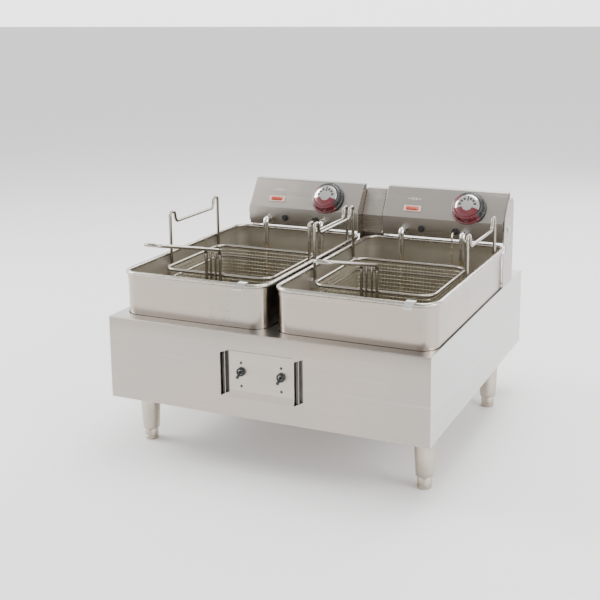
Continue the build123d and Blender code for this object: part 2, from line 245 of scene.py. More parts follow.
@dataclass(frozen=True)
class BrushedSteel:
    """Stainless sheet with a brushed grain, faint colour drift and handling marks."""

    name: str
    grain: Grain
    warm: Colour = (0.455, 0.385, 0.338)
    cool: Colour = (0.415, 0.383, 0.345)
    roughness: float = 0.30
    seed: float = 0.0

    def material(self) -> bpy.types.Material:
        """Builds the material."""
        sheet = NodeSheet(self.name)
        drift = sheet.noise((5.0, 5.0, 7.0), 3.0, self.seed)
        fine = sheet.noise(self.grain.value, 4.0, self.seed + 3.1, 0.65)
        wide = sheet.noise([wave * 0.16 for wave in self.grain.value], 2.0, self.seed + 5.7)
        smear = sheet.noise((16.0, 16.0, 11.0), 5.0, self.seed + 9.3, 0.62).step(0.55, 0.78)
        scratch = sheet.noise([wave * 0.5 + 4.0 for wave in self.grain.value], 1.0,
                              self.seed + 12.0).step(0.71, 0.76)
        base = sheet.blend(drift.step(0.36, 0.64), self.warm, self.cool)
        base = sheet.blend((fine - 0.5) * 0.24 + (wide - 0.5) * 0.16 + 0.10, base,
                           (0.27, 0.26, 0.25))
        base = sheet.blend(scratch * 0.20, base, (0.62, 0.61, 0.59))
        rough = (fine - 0.5) * 0.16 + smear * 0.10 + scratch * 0.08 + self.roughness
        return sheet.finish(Base_Color=base, Metallic=1.0, Roughness=rough,
                            Normal=sheet.bump(fine, 0.05, 0.0002))


@dataclass(frozen=True)
class OiledAndShadedSteel:
    """The inside of a pot: satin steel with a real oil tide mark at the oil line, darker and browner
    below it: partly oil stain, mostly painted shade.
    """

    name: str
    oil_line: float
    seed: float = 0.0

    def material(self) -> bpy.types.Material:
        """Builds the material."""
        sheet = NodeSheet(self.name)
        height = sheet.axis(2)
        cloud = sheet.noise((9.0, 9.0, 6.0), 5.0, self.seed, 0.6)
        runs = sheet.noise((60.0, 60.0, 3.0), 3.0, self.seed + 4.0)
        grain = sheet.noise((4.0, 4.0, 420.0), 3.0, self.seed + 8.0)
        # below: darker and browner towards the pot's floor, mostly painted shade of the pot's depth;
        # tide: a real oil tide mark.
        below = (height + (cloud - 0.5) * 0.05).step(self.oil_line + 0.055, self.oil_line - 0.06)
        wavy = height + (runs - 0.5) * 0.012
        tide = (wavy.step(self.oil_line - 0.006, self.oil_line)
                * wavy.step(self.oil_line + 0.010, self.oil_line))
        base = sheet.blend(cloud.step(0.35, 0.7), (0.44, 0.40, 0.335), (0.36, 0.335, 0.265))
        base = sheet.blend(below * 0.45, base, (0.26, 0.225, 0.145))
        base = sheet.blend(tide * 0.16, base, (0.22, 0.16, 0.09))
        base = sheet.blend((grain - 0.4) * 0.5, base, (0.20, 0.19, 0.17))
        rough = cloud * 0.22 + below * 0.08 + 0.34
        return sheet.finish(Base_Color=base, Metallic=0.72, Roughness=rough,
                            Normal=sheet.bump(grain + cloud, 0.12, 0.0005))


@dataclass(frozen=True)
class PlatedWire:
    """Nickel-plated wire, with a little yellowing and dull spots."""

    name: str
    bright: Colour = (0.33, 0.305, 0.265)
    dull: Colour = (0.19, 0.165, 0.13)
    roughness: float = 0.15
    wear: float = 0.45

    def material(self) -> bpy.types.Material:
        """Builds the material."""
        sheet = NodeSheet(self.name)
        patch = sheet.noise((70.0, 70.0, 70.0), 4.0, 2.0, 0.6)
        speck = sheet.noise((520.0, 520.0, 520.0), 2.0, 7.0).step(0.60, 0.72)
        aged = patch.step(0.45, 0.75) * self.wear
        base = sheet.blend(aged, self.bright, self.dull)
        base = sheet.blend(speck * 0.3, base, (0.30, 0.26, 0.20))
        rough = aged * 0.30 + speck * 0.12 + self.roughness
        return sheet.finish(Base_Color=base, Metallic=1.0, Roughness=rough,
                            Normal=sheet.bump(patch, 0.10, 0.0004))


@dataclass(frozen=True)
class HeaterSheath:
    """The element's sheath: bright nickel alloy with straw and blue heat tints."""

    name: str = "heater_sheath"

    def material(self) -> bpy.types.Material:
        """Builds the material."""
        sheet = NodeSheet(self.name)
        bands = sheet.noise((26.0, 26.0, 26.0), 3.0, 1.0)
        soot = sheet.noise((150.0, 150.0, 150.0), 3.0, 5.0).step(0.56, 0.70)
        base = sheet.blend(bands.step(0.38, 0.56), (0.80, 0.77, 0.70), (0.66, 0.54, 0.36))
        base = sheet.blend(bands.step(0.60, 0.72) * 0.5, base, (0.40, 0.40, 0.46))
        base = sheet.blend(soot * 0.35, base, (0.16, 0.13, 0.10))
        return sheet.finish(Base_Color=base, Metallic=1.0, Roughness=bands * 0.2 + soot * 0.2 + 0.12,
                            Normal=sheet.bump(soot, 0.15, 0.0003))


@dataclass(frozen=True)
class CastMetal:
    """Satin cast or zinc-plated metal with a fine skin."""

    name: str
    tone: Colour = (0.56, 0.50, 0.43)
    shade: Colour = (0.46, 0.41, 0.345)
    roughness: float = 0.30

    def material(self) -> bpy.types.Material:
        """Builds the material."""
        sheet = NodeSheet(self.name)
        cloud = sheet.noise((40.0, 40.0, 25.0), 4.0, 3.0)
        skin = sheet.noise((900.0, 900.0, 900.0), 2.0, 6.0)
        base = sheet.blend(cloud.step(0.35, 0.65), self.tone, self.shade)
        return sheet.finish(Base_Color=base, Metallic=1.0,
                            Roughness=cloud * 0.16 + skin * 0.08 + self.roughness - 0.10,
                            Normal=sheet.bump(skin, 0.12, 0.0002))


@dataclass(frozen=True)
class Moulded:
    """Moulded plastic or stove enamel, with a fine grain and rubbed patches."""

    name: str
    tone: Colour
    rubbed: Colour
    roughness: float = 0.38
    grain: float = 700.0
    coat: float = 0.0

    def material(self) -> bpy.types.Material:
        """Builds the material."""
        sheet = NodeSheet(self.name)
        skin = sheet.noise((self.grain, self.grain, self.grain), 2.0, 1.0)
        rub = sheet.noise((60.0, 60.0, 60.0), 4.0, 4.0, 0.6).step(0.5, 0.75)
        base = sheet.blend(rub * 0.45, self.tone, self.rubbed)
        return sheet.finish(Base_Color=base, Coat_Weight=self.coat, Coat_Roughness=0.08,
                            Roughness=rub * 0.12 + skin * 0.10 + self.roughness - 0.05,
                            Normal=sheet.bump(skin, 0.10, 0.0001))


@dataclass(frozen=True)
class LampLens:
    """The orange-red pilot lens, ribbed and slightly translucent."""

    name: str = "pilot_lens_amber"

    def material(self) -> bpy.types.Material:
        """Builds the material."""
        sheet = NodeSheet(self.name)
        ribs = sheet.noise((900.0, 20.0, 20.0), 1.0, 2.0)
        cloud = sheet.noise((90.0, 90.0, 90.0), 3.0, 5.0)
        base = sheet.blend(cloud.step(0.3, 0.7), (0.46, 0.070, 0.020), (0.34, 0.040, 0.014))
        return sheet.finish(Base_Color=base, Roughness=ribs * 0.1 + 0.18, Emission_Color=base,
                            Emission_Strength=0.10, Normal=sheet.bump(ribs, 0.25, 0.0003))


# ------------------------------------------------------------------ mesh tools
def arc_path(points: Sequence[Vector], radius: float, steps: int = 6,
             closed: bool = False) -> list[Vector]:
    """Rounds the corners of a run of straight lines.

    Args:
        points: the corners.
        radius: the bend radius, made smaller where a run is short.
        steps: segments in each bend.
        closed: whether the last point joins the first.

    Returns:
        The path.
    """
    path: list[Vector] = []
    count = len(points)
    for index, corner in enumerate(points):
        if not closed and index in (0, count - 1):
            path.append(corner.copy())
            continue
        back, ahead = points[index - 1] - corner, points[(index + 1) % count] - corner
        u, v = back.normalized(), ahead.normalized()
        half = u.angle(v) / 2
        if half > math.pi / 2 - 0.01:
            path.append(corner.copy())
            continue
        reach = min(radius / math.tan(half), back.length * 0.48, ahead.length * 0.48)
        bend = reach * math.tan(half)
        centre = corner + (u + v).normalized() * (bend / math.sin(half))
        start, end = corner + u * reach - centre, corner + v * reach - centre
        normal = start.cross(end).normalized()
        sweep = start.angle(end)
        path += [centre + Matrix.Rotation(sweep * step / steps, 3, normal) @ start
                 for step in range(steps + 1)]
    return path


def round_rect(centre: Vector, half_x: float, half_y: float, corner: float,
               steps: int = 8) -> list[Vector]:
    """A level rounded rectangle, counter-clockwise.

    Args:
        centre: its middle.
        half_x: half its width.
        half_y: half its depth.
        corner: the corner radius.
        steps: segments in each corner.

    Returns:
        Its points.
    """
    points = []
    for quarter, (sx, sy) in enumerate(((1, -1), (1, 1), (-1, 1), (-1, -1))):
        for step in range(steps + 1):
            angle = math.radians(-90 + 90 * quarter + 90 * step / steps)
            points.append(centre + Vector((sx * (half_x - corner) + corner * math.cos(angle),
                                           sy * (half_y - corner) + corner * math.sin(angle), 0)))
    return points


class Skin:
    """Collects points and faces, and makes one mesh piece of them."""

    def __init__(self) -> None:
        """Starts empty."""
        self.points: list[Vector] = []
        self.faces: list[tuple[int, ...]] = []
        self.marks: list[int] = []

    def face(self, corners: Iterable[int], mark: int = 0) -> None:
        """Adds a face with a material number."""
        self.faces.append(tuple(corners))
        self.marks.append(mark)

    def loft(self, rings: Sequence[Sequence[Vector]], caps: bool = True, mark: int = 0,
             loop: bool = False) -> "Skin":
        """Skins rings that have the same number of points.

        Args:
            rings: the rings in order.
            caps: whether the two ends are closed with a face.
            mark: the material number.
            loop: whether the last ring joins the first.

        Returns:
            This skin.
        """
        size, first = len(rings[0]), len(self.points)
        for ring in rings:
            self.points += [Vector(point) for point in ring]
        total = len(rings) if loop else len(rings) - 1
        for r in range(total):
            a, b = first + r * size, first + (r + 1) % len(rings) * size
            for i in range(size):
                j = (i + 1) % size
                self.face((a + i, a + j, b + j, b + i), mark)
        if caps and not loop:
            last = first + (len(rings) - 1) * size
            self.face(range(first + size - 1, first - 1, -1), mark)
            self.face(range(last, last + size), mark)
        return self

    def tube(self, path: Sequence[Vector], radius: float, sides: int = 8, loop: bool = False,
             mark: int = 0) -> "Skin":
        """A round tube along a path.

        Args:
            path: its middle line.
            radius: its radius.
            sides: points round it.
            loop: whether it closes on itself.
            mark: the material number.

        Returns:
            This skin.
        """
        count = len(path)
        tangents = []
        for i, point in enumerate(path):
            before = path[i - 1] if loop or i else point
            after = path[(i + 1) % count] if loop or i < count - 1 else point
            tangents.append((after - before).normalized())
        side = tangents[0].orthogonal().normalized()
        rings = []
        for point, tangent in zip(path, tangents):
            side = (side - tangent * side.dot(tangent)).normalized()
            other = tangent.cross(side)
            rings.append([point + (side * math.cos(a) + other * math.sin(a)) * radius
                          for a in (math.tau * k / sides for k in range(sides))])
        if loop:
            rings.append(_aligned(rings[0], rings[-1]))
        return self.loft(rings, caps=not loop, mark=mark)

    def lathe(self, profile: Sequence[tuple[float, float]], place: Matrix, segments: int = 40,
              mark: int = 0) -> "Skin":
        """Turns an outline about an axis.

        Args:
            profile: (radius, height) pairs.
            place: puts the axis, local z, in the frame.
            segments: steps round the axis.
            mark: the material number.

        Returns:
            This skin.
        """
        first = len(self.points)
        for k in range(segments):
            angle = math.radians(360.0 * k / segments)
            for radius, height in profile:
                local = Vector((radius * math.cos(angle), radius * math.sin(angle), height))
                self.points.append(place @ local)
        size = len(profile)
        for k in range(segments):
            a, b = first + k * size, first + (k + 1) % segments * size
            for i in range(size - 1):
                self.face((a + i, b + i, b + i + 1, a + i + 1), mark)
        return self

    def prism(self, outline: Sequence[Vector], reach: Vector, mark: int = 0) -> "Skin":
        """Stretches a flat outline along a vector."""
        return self.loft([outline, [point + reach for point in outline]], mark=mark)

    def box(self, low: Sequence[float], high: Sequence[float], mark: int = 0) -> "Skin":
        """A box between two corners."""
        (x0, y0, z0), (x1, y1, z1) = low, high
        outline = [Vector((x0, y0, z0)), Vector((x1, y0, z0)), Vector((x1, y1, z0)),
                   Vector((x0, y1, z0))]
        return self.prism(outline, Vector((0, 0, z1 - z0)), mark)

    def make(self, name: str, body: str, slot: str, *materials: bpy.types.Material,
             stands_for: Sequence[str] = (), edge: float = 0.0,
             smooth: float = 38.0) -> bpy.types.Object:
        """Makes the object and ties it to its CAD body.

        Args:
            name: the piece's name.
            body: the CAD body that it rides.
            slot: the record's material slot; not used.
            *materials: one for each material number.
            stands_for: the CAD nodes that it replaces.
            edge: the width of a rounded edge, or 0.
            smooth: edges sharper than this many degrees stay sharp.

        Returns:
            The object.
        """
        mesh = bpy.data.meshes.new(name)
        mesh.from_pydata([tuple(point) for point in self.points], [], self.faces)
        for material in materials:
            mesh.materials.append(material)
        mesh.polygons.foreach_set("material_index", self.marks)
        weld(mesh)
        piece = bpy.data.objects.new(name, mesh)
        bpy.context.scene.collection.objects.link(piece)
        if edge:
            bevel = piece.modifiers.new("rounded edges", "BEVEL")
            bevel.width, bevel.segments, bevel.limit_method = edge, 3, "ANGLE"
            bevel.angle_limit = math.radians(32)
            bevel.harden_normals = False
        mesh.shade_smooth()
        mesh.set_sharp_from_angle(angle=math.radians(smooth))
        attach(piece, body)
        if stands_for:
            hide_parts(*stands_for)
        log.info("%s rides %s: %d faces", name, body, len(self.faces))
        return piece


def _aligned(ring: Sequence[Vector], last: Sequence[Vector]) -> list[Vector]:
    """The same ring, started at the point nearest to the last ring's first."""
    start = min(range(len(ring)), key=lambda k: (ring[k] - last[0]).length)
    return [ring[(start + k) % len(ring)] for k in range(len(ring))]


def weld(mesh: bpy.types.Mesh) -> None:
    """Joins points that lie on each other and turns the faces outwards."""
    work = bmesh.new()
    work.from_mesh(mesh)
    bmesh.ops.remove_doubles(work, verts=work.verts, dist=1e-6)
    bmesh.ops.recalc_face_normals(work, faces=work.faces)
    work.to_mesh(mesh)
    work.free()
    mesh.update()


def dress(material: bpy.types.Material, *nodes: str) -> None:
    """Gives CAD nodes a material."""
    for node in nodes:
        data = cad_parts[node].data
        data.materials.clear()
        data.materials.append(material)
        data.shade_smooth()
        data.set_sharp_from_angle(angle=math.radians(35))


class Finishes:
    """Every finish that is shared by more than one piece."""

    def __init__(self) -> None:
        """Builds the materials."""
        self.front = BrushedSteel("front_brushed", Grain.LEVEL, seed=2.0).material()
        self.deck = BrushedSteel("deck_brushed", Grain.CROSSWISE, (0.56, 0.54, 0.52),
                                 (0.53, 0.525, 0.51), 0.30, 5.0).material()
        # The sides get a lighter, neutral copy of the brushed steel: painted light for the side that
        # the light falls on.
        self.side = BrushedSteel("side_brushed_painted_light", Grain.LEVEL, (0.66, 0.655, 0.645),
                                 (0.63, 0.63, 0.625), 0.33, 8.0).material()
        self.head = BrushedSteel("head_brushed", Grain.SLOPED, (0.415, 0.375, 0.338),
                                 (0.39, 0.370, 0.338), 0.30, 11.0).material()
        self.rear = BrushedSteel("rear_brushed", Grain.LEVEL, roughness=0.36, seed=15.0).material()
        self.post = BrushedSteel("post_brushed", Grain.LEVEL, roughness=0.28, seed=19.0).material()
        self.wire = PlatedWire("nickel_wire").material()
        self.mesh_wire = PlatedWire("basket_wire", (0.46, 0.42, 0.335), (0.28, 0.24, 0.165),
                                    0.34, 0.70).material()
        self.chrome = PlatedWire("polished_chrome", (0.72, 0.715, 0.69), (0.50, 0.485, 0.46),
                                 0.10, 0.30).material()
        self.zinc = CastMetal("zinc_plate", (0.72, 0.72, 0.69), (0.60, 0.60, 0.58), 0.32).material()
        self.leg = CastMetal("cast_leg").material()
        self.black = Moulded("black_plastic", (0.018, 0.018, 0.020), (0.045, 0.044, 0.043),
                             0.34).material()
        self.pale_ink = Moulded("pale_ink", (0.80, 0.79, 0.76), (0.62, 0.60, 0.57), 0.5).material()
        # A near-black sheet finish: painted shade on the head's end plates and in the front's slots;
        # the switch screws use it too.
        self.near_black_shade_sheet = CastMetal("near_black_and_painted_shade", (0.115, 0.110, 0.105),
                                    (0.075, 0.072, 0.070), 0.45).material()
        self.ink = Moulded("black_ink", (0.030, 0.028, 0.030), (0.07, 0.068, 0.07), 0.55).material()


def soften(node: str, width: float) -> None:
    """Rounds a CAD node's sharp edges with a modifier."""
    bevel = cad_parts[node].modifiers.new("rounded edges", "BEVEL")
    bevel.width, bevel.segments, bevel.limit_method = width, 2, "ANGLE"
    bevel.angle_limit = math.radians(40)
    bevel.use_clamp_overlap = True


def facing(point: Vector, out: Vector, across: Vector | None = None) -> Matrix:
    """A place whose local z points out of a surface.

    Args:
        point: the origin.
        out: the direction of local z.
        across: the direction of local x, if it matters.

    Returns:
        The place's matrix.
    """
    z = out.normalized()
    x = (across - z * across.dot(z)).normalized() if across else z.orthogonal().normalized()
    turn = Matrix((x, z.cross(x), z)).transposed().to_4x4()
    return Matrix.Translation(point) @ turn


def screw_head(skin: Skin, point: Vector, out: Vector, radius: float, height: float) -> None:
    """A round head with a cross recess.

    Args:
        skin: takes the head.
        point: where it meets its surface.
        out: the way it faces.
        radius: its radius.
        height: how far it stands out.
    """
    place = facing(point, out)
    profile = [(radius, 0.0), (radius, height * 0.25), (radius * 0.86, height * 0.66),
               (radius * 0.55, height * 0.94), (radius * 0.52, height)]
    skin.lathe(profile, place, 24)
    slot, arm, floor = radius * 0.11, radius * 0.42, height * 0.45
    corners = [(slot, arm), (slot, slot), (arm, slot), (arm, -slot), (slot, -slot), (slot, -arm),
               (-slot, -arm), (-slot, -slot), (-arm, -slot), (-arm, slot), (-slot, slot), (-slot, arm)]
    rim = [place @ Vector((x, y, height)) for x, y in corners]
    base = [place @ Vector((x, y, floor)) for x, y in corners]
    outer = [place @ Vector((radius * 0.52 * math.cos(a), radius * 0.52 * math.sin(a), height))
             for a in (math.atan2(y, x) for x, y in corners)]
    skin.loft([outer, rim, base], caps=False)
    last = len(skin.points) - len(base)
    skin.face(range(last, last + len(base)))


def louvre(skin: Skin, corner: Vector, width: float, height: float, depth: float) -> None:
    """A pressed louvre that opens downwards on a back face.

    Args:
        skin: takes the louvre.
        corner: its lower left corner on the sheet.
        width: its length along x.
        height: its height.
        depth: how far it stands out, along +y.
    """
    steps = 8
    rings = []
    for k in range(steps + 1):
        t = k / steps
        swell = math.sin(math.pi * t) ** 0.35 if 0 < t < 1 else 0.0
        outer, inner = [], []
        for m in range(6):
            angle = math.radians(90 * m / 5)
            up, out = height * (1 - math.cos(angle)), math.sin(math.pi / 2 - angle)
            outer.append(Vector((width * t, depth * swell * out, up)))
            inner.append(Vector((width * t, max(depth * swell * out - 0.0008, 0.0), up)))
        rings.append([corner + p for p in outer] + [corner + p for p in reversed(inner)])
    skin.loft(rings)


# ------------------------------------------------------------------ sub-assemblies
@dataclass
class Cabinet:
    """The box that the pots hang in, with its folded front and its back."""

    finishes: Finishes
    fold: float = 2.6 * MM
    sheet: float = 1.5 * MM
    opening_low: float = 35.0 * MM
    opening_high: float = 32.4 * MM
    opening_half: float = 79.0 * MM
    flange: float = 9.0 * MM
    rear_screws: Sequence[float] = (-0.2859, -0.0959, 0.0941, 0.2841)
    louvre_columns: Sequence[int] = (-1, 0, 1, 2)
    louvre_rows: int = 5

    def build(self) -> None:
        """Builds the sheets and dresses the CAD nodes that stay."""
        self.front()
        self.side_sheets()
        self.deck()
        self.rear()
        dress(self.finishes.rear, "bottom_pan", "pot_supports")
        self.works()

    def front(self) -> None:
        """The front, whose top edge rolls back into the deck and whose opening has flanges."""
        low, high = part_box("front_panel")
        bracket_low, bracket_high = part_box("switch_bracket")
        middle = (bracket_low.x + bracket_high.x) / 2
        left, right = middle - self.opening_half, middle + self.opening_half
        bottom, top = low.z + self.opening_low, high.z - self.opening_high
        skin = Skin()
        face, back = low.y, low.y + self.sheet
        columns, rows = (low.x, left, right, high.x), (low.z, bottom, top, high.z - self.fold)
        grids = []
        for y in (face, back):
            grids.append(len(skin.points))
            skin.points += [Vector((x, y, z)) for z in rows for x in columns]
        for i in range(3):
            for j in range(3):
                if (i, j) == (1, 1):
                    continue
                for start in grids:
                    a = start + j * 4 + i
                    skin.face((a, a + 1, a + 5, a + 4))
        rim = [(0, 1), (1, 2), (2, 3), (3, 7), (7, 11), (11, 15), (0, 4), (4, 8), (8, 12),
               (5, 6), (6, 10), (10, 9), (9, 5)]
        for a, b in rim:
            skin.face((grids[0] + a, grids[0] + b, grids[1] + b, grids[1] + a))
        self.roll(skin, face, high.z, columns)
        for x, reach in ((left, -self.sheet), (right, self.sheet)):
            x0, x1 = sorted((x, x + reach))
            skin.box((x0, back - 0.0002, bottom), (x1, face + self.flange, top))
        skin.make("front_sheet", "root", "brushed_panel", self.finishes.front,
                  stands_for=("front_panel",), edge=0.45 * MM)
        plate = (bracket_high.x - bracket_low.x) / 2
        self.slots(middle, plate, (bottom, top), face)

    def slots(self, middle: float, plate: float, levels: tuple[float, float], face: float) -> None:
        """The two slanted slots beside the switch plate, with dark boxes at their backs as painted
        shade, and a dark strip under the opening's top edge as a painted shadow line.

        Args:
            middle: the plate's middle x.
            plate: half of the plate's width.
            levels: the opening's bottom and top.
            face: the front face's y.
        """
        bottom, top = levels
        corners, shade_boxes = Skin(), Skin()
        through = Vector((0, self.sheet, 0))
        for x0, x1 in ((middle - self.opening_half, middle - plate),
                       (middle + plate, middle + self.opening_half)):
            corners.prism([Vector((x0, face, top)), Vector((x0, face, top - 6.6 * MM)),
                           Vector((x1, face, top))], through)
            corners.prism([Vector((x1, face, bottom)), Vector((x1, face, bottom + 9 * MM)),
                           Vector((x0, face, bottom))], through)
            fin = x0 + (x1 - x0) * 0.53
            corners.box((fin - 0.5 * MM, face + 0.8 * MM, bottom), (fin + 0.5 * MM, face + 6 * MM, top))
            # A near-black box at the back of each slot: painted shade in the slot's depth.
            shade_boxes.box((x0 + 1.6 * MM, face + 6 * MM, bottom - 2 * MM),
                       (x1 - 1.6 * MM, face + 7.2 * MM, top + 2 * MM))
        ramp = [Vector((middle - plate, face + 0.02 * MM, bottom)),
                Vector((middle - plate, face + self.sheet + 0.1 * MM, bottom + 13 * MM)),
                Vector((middle - plate, face + self.sheet + 0.1 * MM, bottom))]
        corners.prism(ramp, Vector((plate * 2, 0, 0)))
        corners.make("slot_corners", "root", "brushed_panel", self.finishes.front)
        # A near-black strip just under the opening's top edge: a painted shadow line.
        shade_boxes.box((middle - plate + 2 * MM, face + 0.5 * MM, top - 0.8 * MM),
                   (middle + plate - 2 * MM, face + self.sheet, top))
        shade_boxes.make("slot_painted_shade", "root", "zinc_steel", self.finishes.near_black_shade_sheet)

    def roll(self, skin: Skin, face: float, top: float, columns: Sequence[float]) -> None:
        """Bends the sheet back at its top edge.

        Args:
            skin: the front's skin.
            face: the front face's y.
            top: the top's z.
            columns: where the sheet's columns of points stand.
        """
        thin = self.fold - self.sheet
        rings = []
        for x in columns:
            ring = []
            for radius, steps in ((self.fold, range(7)), (thin, range(6, -1, -1))):
                for step in steps:
                    angle = math.radians(15 * step)
                    ring.append(Vector((x, face + self.fold - radius * math.cos(angle),
                                        top - self.fold + radius * math.sin(angle))))
            rings.append(ring)
        skin.loft(rings)

    def side_sheets(self) -> None:
        """The two sides: flat sheets with rounded corners and edges."""
        for side in SIDES:
            low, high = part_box(f"{side}_side_panel")
            skin = Skin()
            ring = [Vector((0, low.y, low.z)), Vector((0, high.y, low.z)), Vector((0, high.y, high.z)),
                    Vector((0, low.y, high.z))]
            outline = arc_path(ring, 1.2 * MM, 4, closed=True)
            skin.prism([Vector((low.x, p.y, p.z)) for p in outline], Vector((high.x - low.x, 0, 0)))
            skin.make(f"{side}_side_sheet", "root", "brushed_panel", self.finishes.side,
                      stands_for=(f"{side}_side_panel",), edge=0.4 * MM)

    def deck(self) -> None:
        """The deck, whose cut-outs leave a thin gap round each pot."""
        dress(self.finishes.deck, "deck")
        soften("deck", 0.35 * MM)

    def rear(self) -> None:
        """The back, pressed with four columns of louvres."""
        dress(self.finishes.rear, "rear_panel")
        soften("rear_panel", 0.35 * MM)
        low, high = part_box("rear_panel")
        for column in self.louvre_columns:
            skin = Skin()
            for row in range(self.louvre_rows):
                x0 = (low.x + high.x) / 2 + (column * 118 - 75) * MM
                z = low.z + (52 + row * 13) * MM
                louvre(skin, Vector((x0, high.y, z)), 80 * MM, 7.5 * MM, 3.6 * MM)
            skin.make(f"rear_louvres_{column + 2}", "root", "brushed_panel", self.finishes.rear,
                      edge=0.25 * MM)

    def works(self) -> None:
        """The electrical parts inside and the gland."""
        dress(Moulded("contactor_case", (0.24, 0.23, 0.21), (0.35, 0.34, 0.32), 0.5).material(),
              "contactors")
        dress(Moulded("ceramic_block", (0.78, 0.76, 0.70), (0.60, 0.56, 0.48), 0.42, 300.0).material(),
              "terminal_block")
        dress(self.finishes.black, "cable_gland")
        soften("cable_gland", 0.6 * MM)
        soften("terminal_block", 0.5 * MM)
        soften("contactors", 0.8 * MM)
        self.screws()

    def screws(self) -> None:
        """Round screw heads with cross recesses, on the back and the switch plate."""
        skin = Skin()
        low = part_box("panel_screws")[0]
        nut_low, nut_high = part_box("switch_nuts")
        rear_low, rear_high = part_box("rear_panel")
        for x in self.rear_screws:
            for z in (rear_low.z + 12 * MM, rear_high.z - 12 * MM):
                screw_head(skin, Vector((x, rear_high.y, z)), Vector((0, 1, 0)), 4 * MM, 2.2 * MM)
        skin.make("cabinet_screws", "root", "zinc_steel", self.finishes.zinc,
                  stands_for=("panel_screws",))
        skin = Skin()
        for side in SIDES:
            toggle_low, toggle_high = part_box(f"{side}_toggle")
            nut_z = (nut_low.z + nut_high.z) / 2
            x = (toggle_low.x + toggle_high.x) / 2
            for lift in (-26, 16):
                screw_head(skin, Vector((x, low.y + 1.0 * MM, nut_z + lift * MM)), Vector((0, -1, 0)),
                           2.6 * MM, 1.0 * MM)
        skin.make("switch_screws", "root", "zinc_steel", self.finishes.near_black_shade_sheet,
                  stands_for=("panel_screws",))


@dataclass
class Leg:
    """One tapered leg and its screw-out foot."""

    finishes: Finishes
    row: str
    side: str
    leg_top: float = 20.0 * MM
    leg_foot: float = 15.5 * MM

    def build(self) -> None:
        """Builds the leg and the foot."""
        low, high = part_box(f"{self.row}_{self.side}_foot")
        leg_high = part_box("leg_sockets")[1].z
        centre = Vector(((low.x + high.x) / 2, (low.y + high.y) / 2, 0.0))
        radius = (high.x - low.x) / 2
        foot_top = 22.0 * MM
        place = Matrix.Translation(centre)
        slope = (self.leg_top - self.leg_foot) / (leg_high - foot_top)
        profile = [(5.4 * MM, foot_top + 0.2 * MM), (self.leg_foot - 1.6 * MM, foot_top),
                   (self.leg_foot - 0.5 * MM, foot_top + 0.4 * MM),
                   (self.leg_foot, foot_top + 1.6 * MM)]
        for k in range(1, 9):
            z = foot_top + 1.6 * MM + (leg_high - foot_top - 4.6 * MM) * k / 8
            profile.append((self.leg_foot + slope * (z - foot_top), z))
        profile += [(self.leg_top - 0.2 * MM, leg_high - 2.2 * MM), (self.leg_top, leg_high - 1.6 * MM),
                    (self.leg_top, leg_high), (6 * MM, leg_high)]
        skin = Skin().lathe(profile, place, 48)
        skin.make(f"{self.row}_{self.side}_leg", "root", "cast_leg", self.finishes.leg,
                  stands_for=("leg_sockets",))

        foot = [(0.0, 0.9 * MM), (radius * 0.72, 0.9 * MM), (radius * 0.80, 0.0),
                (radius - 1.6 * MM, 0.0), (radius - 0.5 * MM, 0.4 * MM), (radius, 1.6 * MM),
                (radius, 6.5 * MM), (radius - 0.7 * MM, 7.1 * MM), (radius - 0.7 * MM, 7.9 * MM),
                (radius, 8.5 * MM), (radius, foot_top - 2.0 * MM),
                (radius - 0.6 * MM, foot_top - 0.8 * MM),
                (radius - 1.8 * MM, foot_top - 0.2 * MM), (5.0 * MM, foot_top - 0.2 * MM)]
        z = foot_top - 0.2 * MM
        while z < high.z - 1.5 * MM:
            foot += [(5.0 * MM, z + 0.2 * MM), (4.3 * MM, z + 0.75 * MM), (5.0 * MM, z + 1.3 * MM)]
            z += 1.3 * MM
        foot += [(4.0 * MM, high.z), (0.0, high.z)]
        skin = Skin().lathe(foot, place, 40)
        skin.make(f"{self.row}_{self.side}_screw_foot", f"{self.row}_{self.side}_foot", "cast_leg",
                  self.finishes.leg, stands_for=(f"{self.row}_{self.side}_foot",))


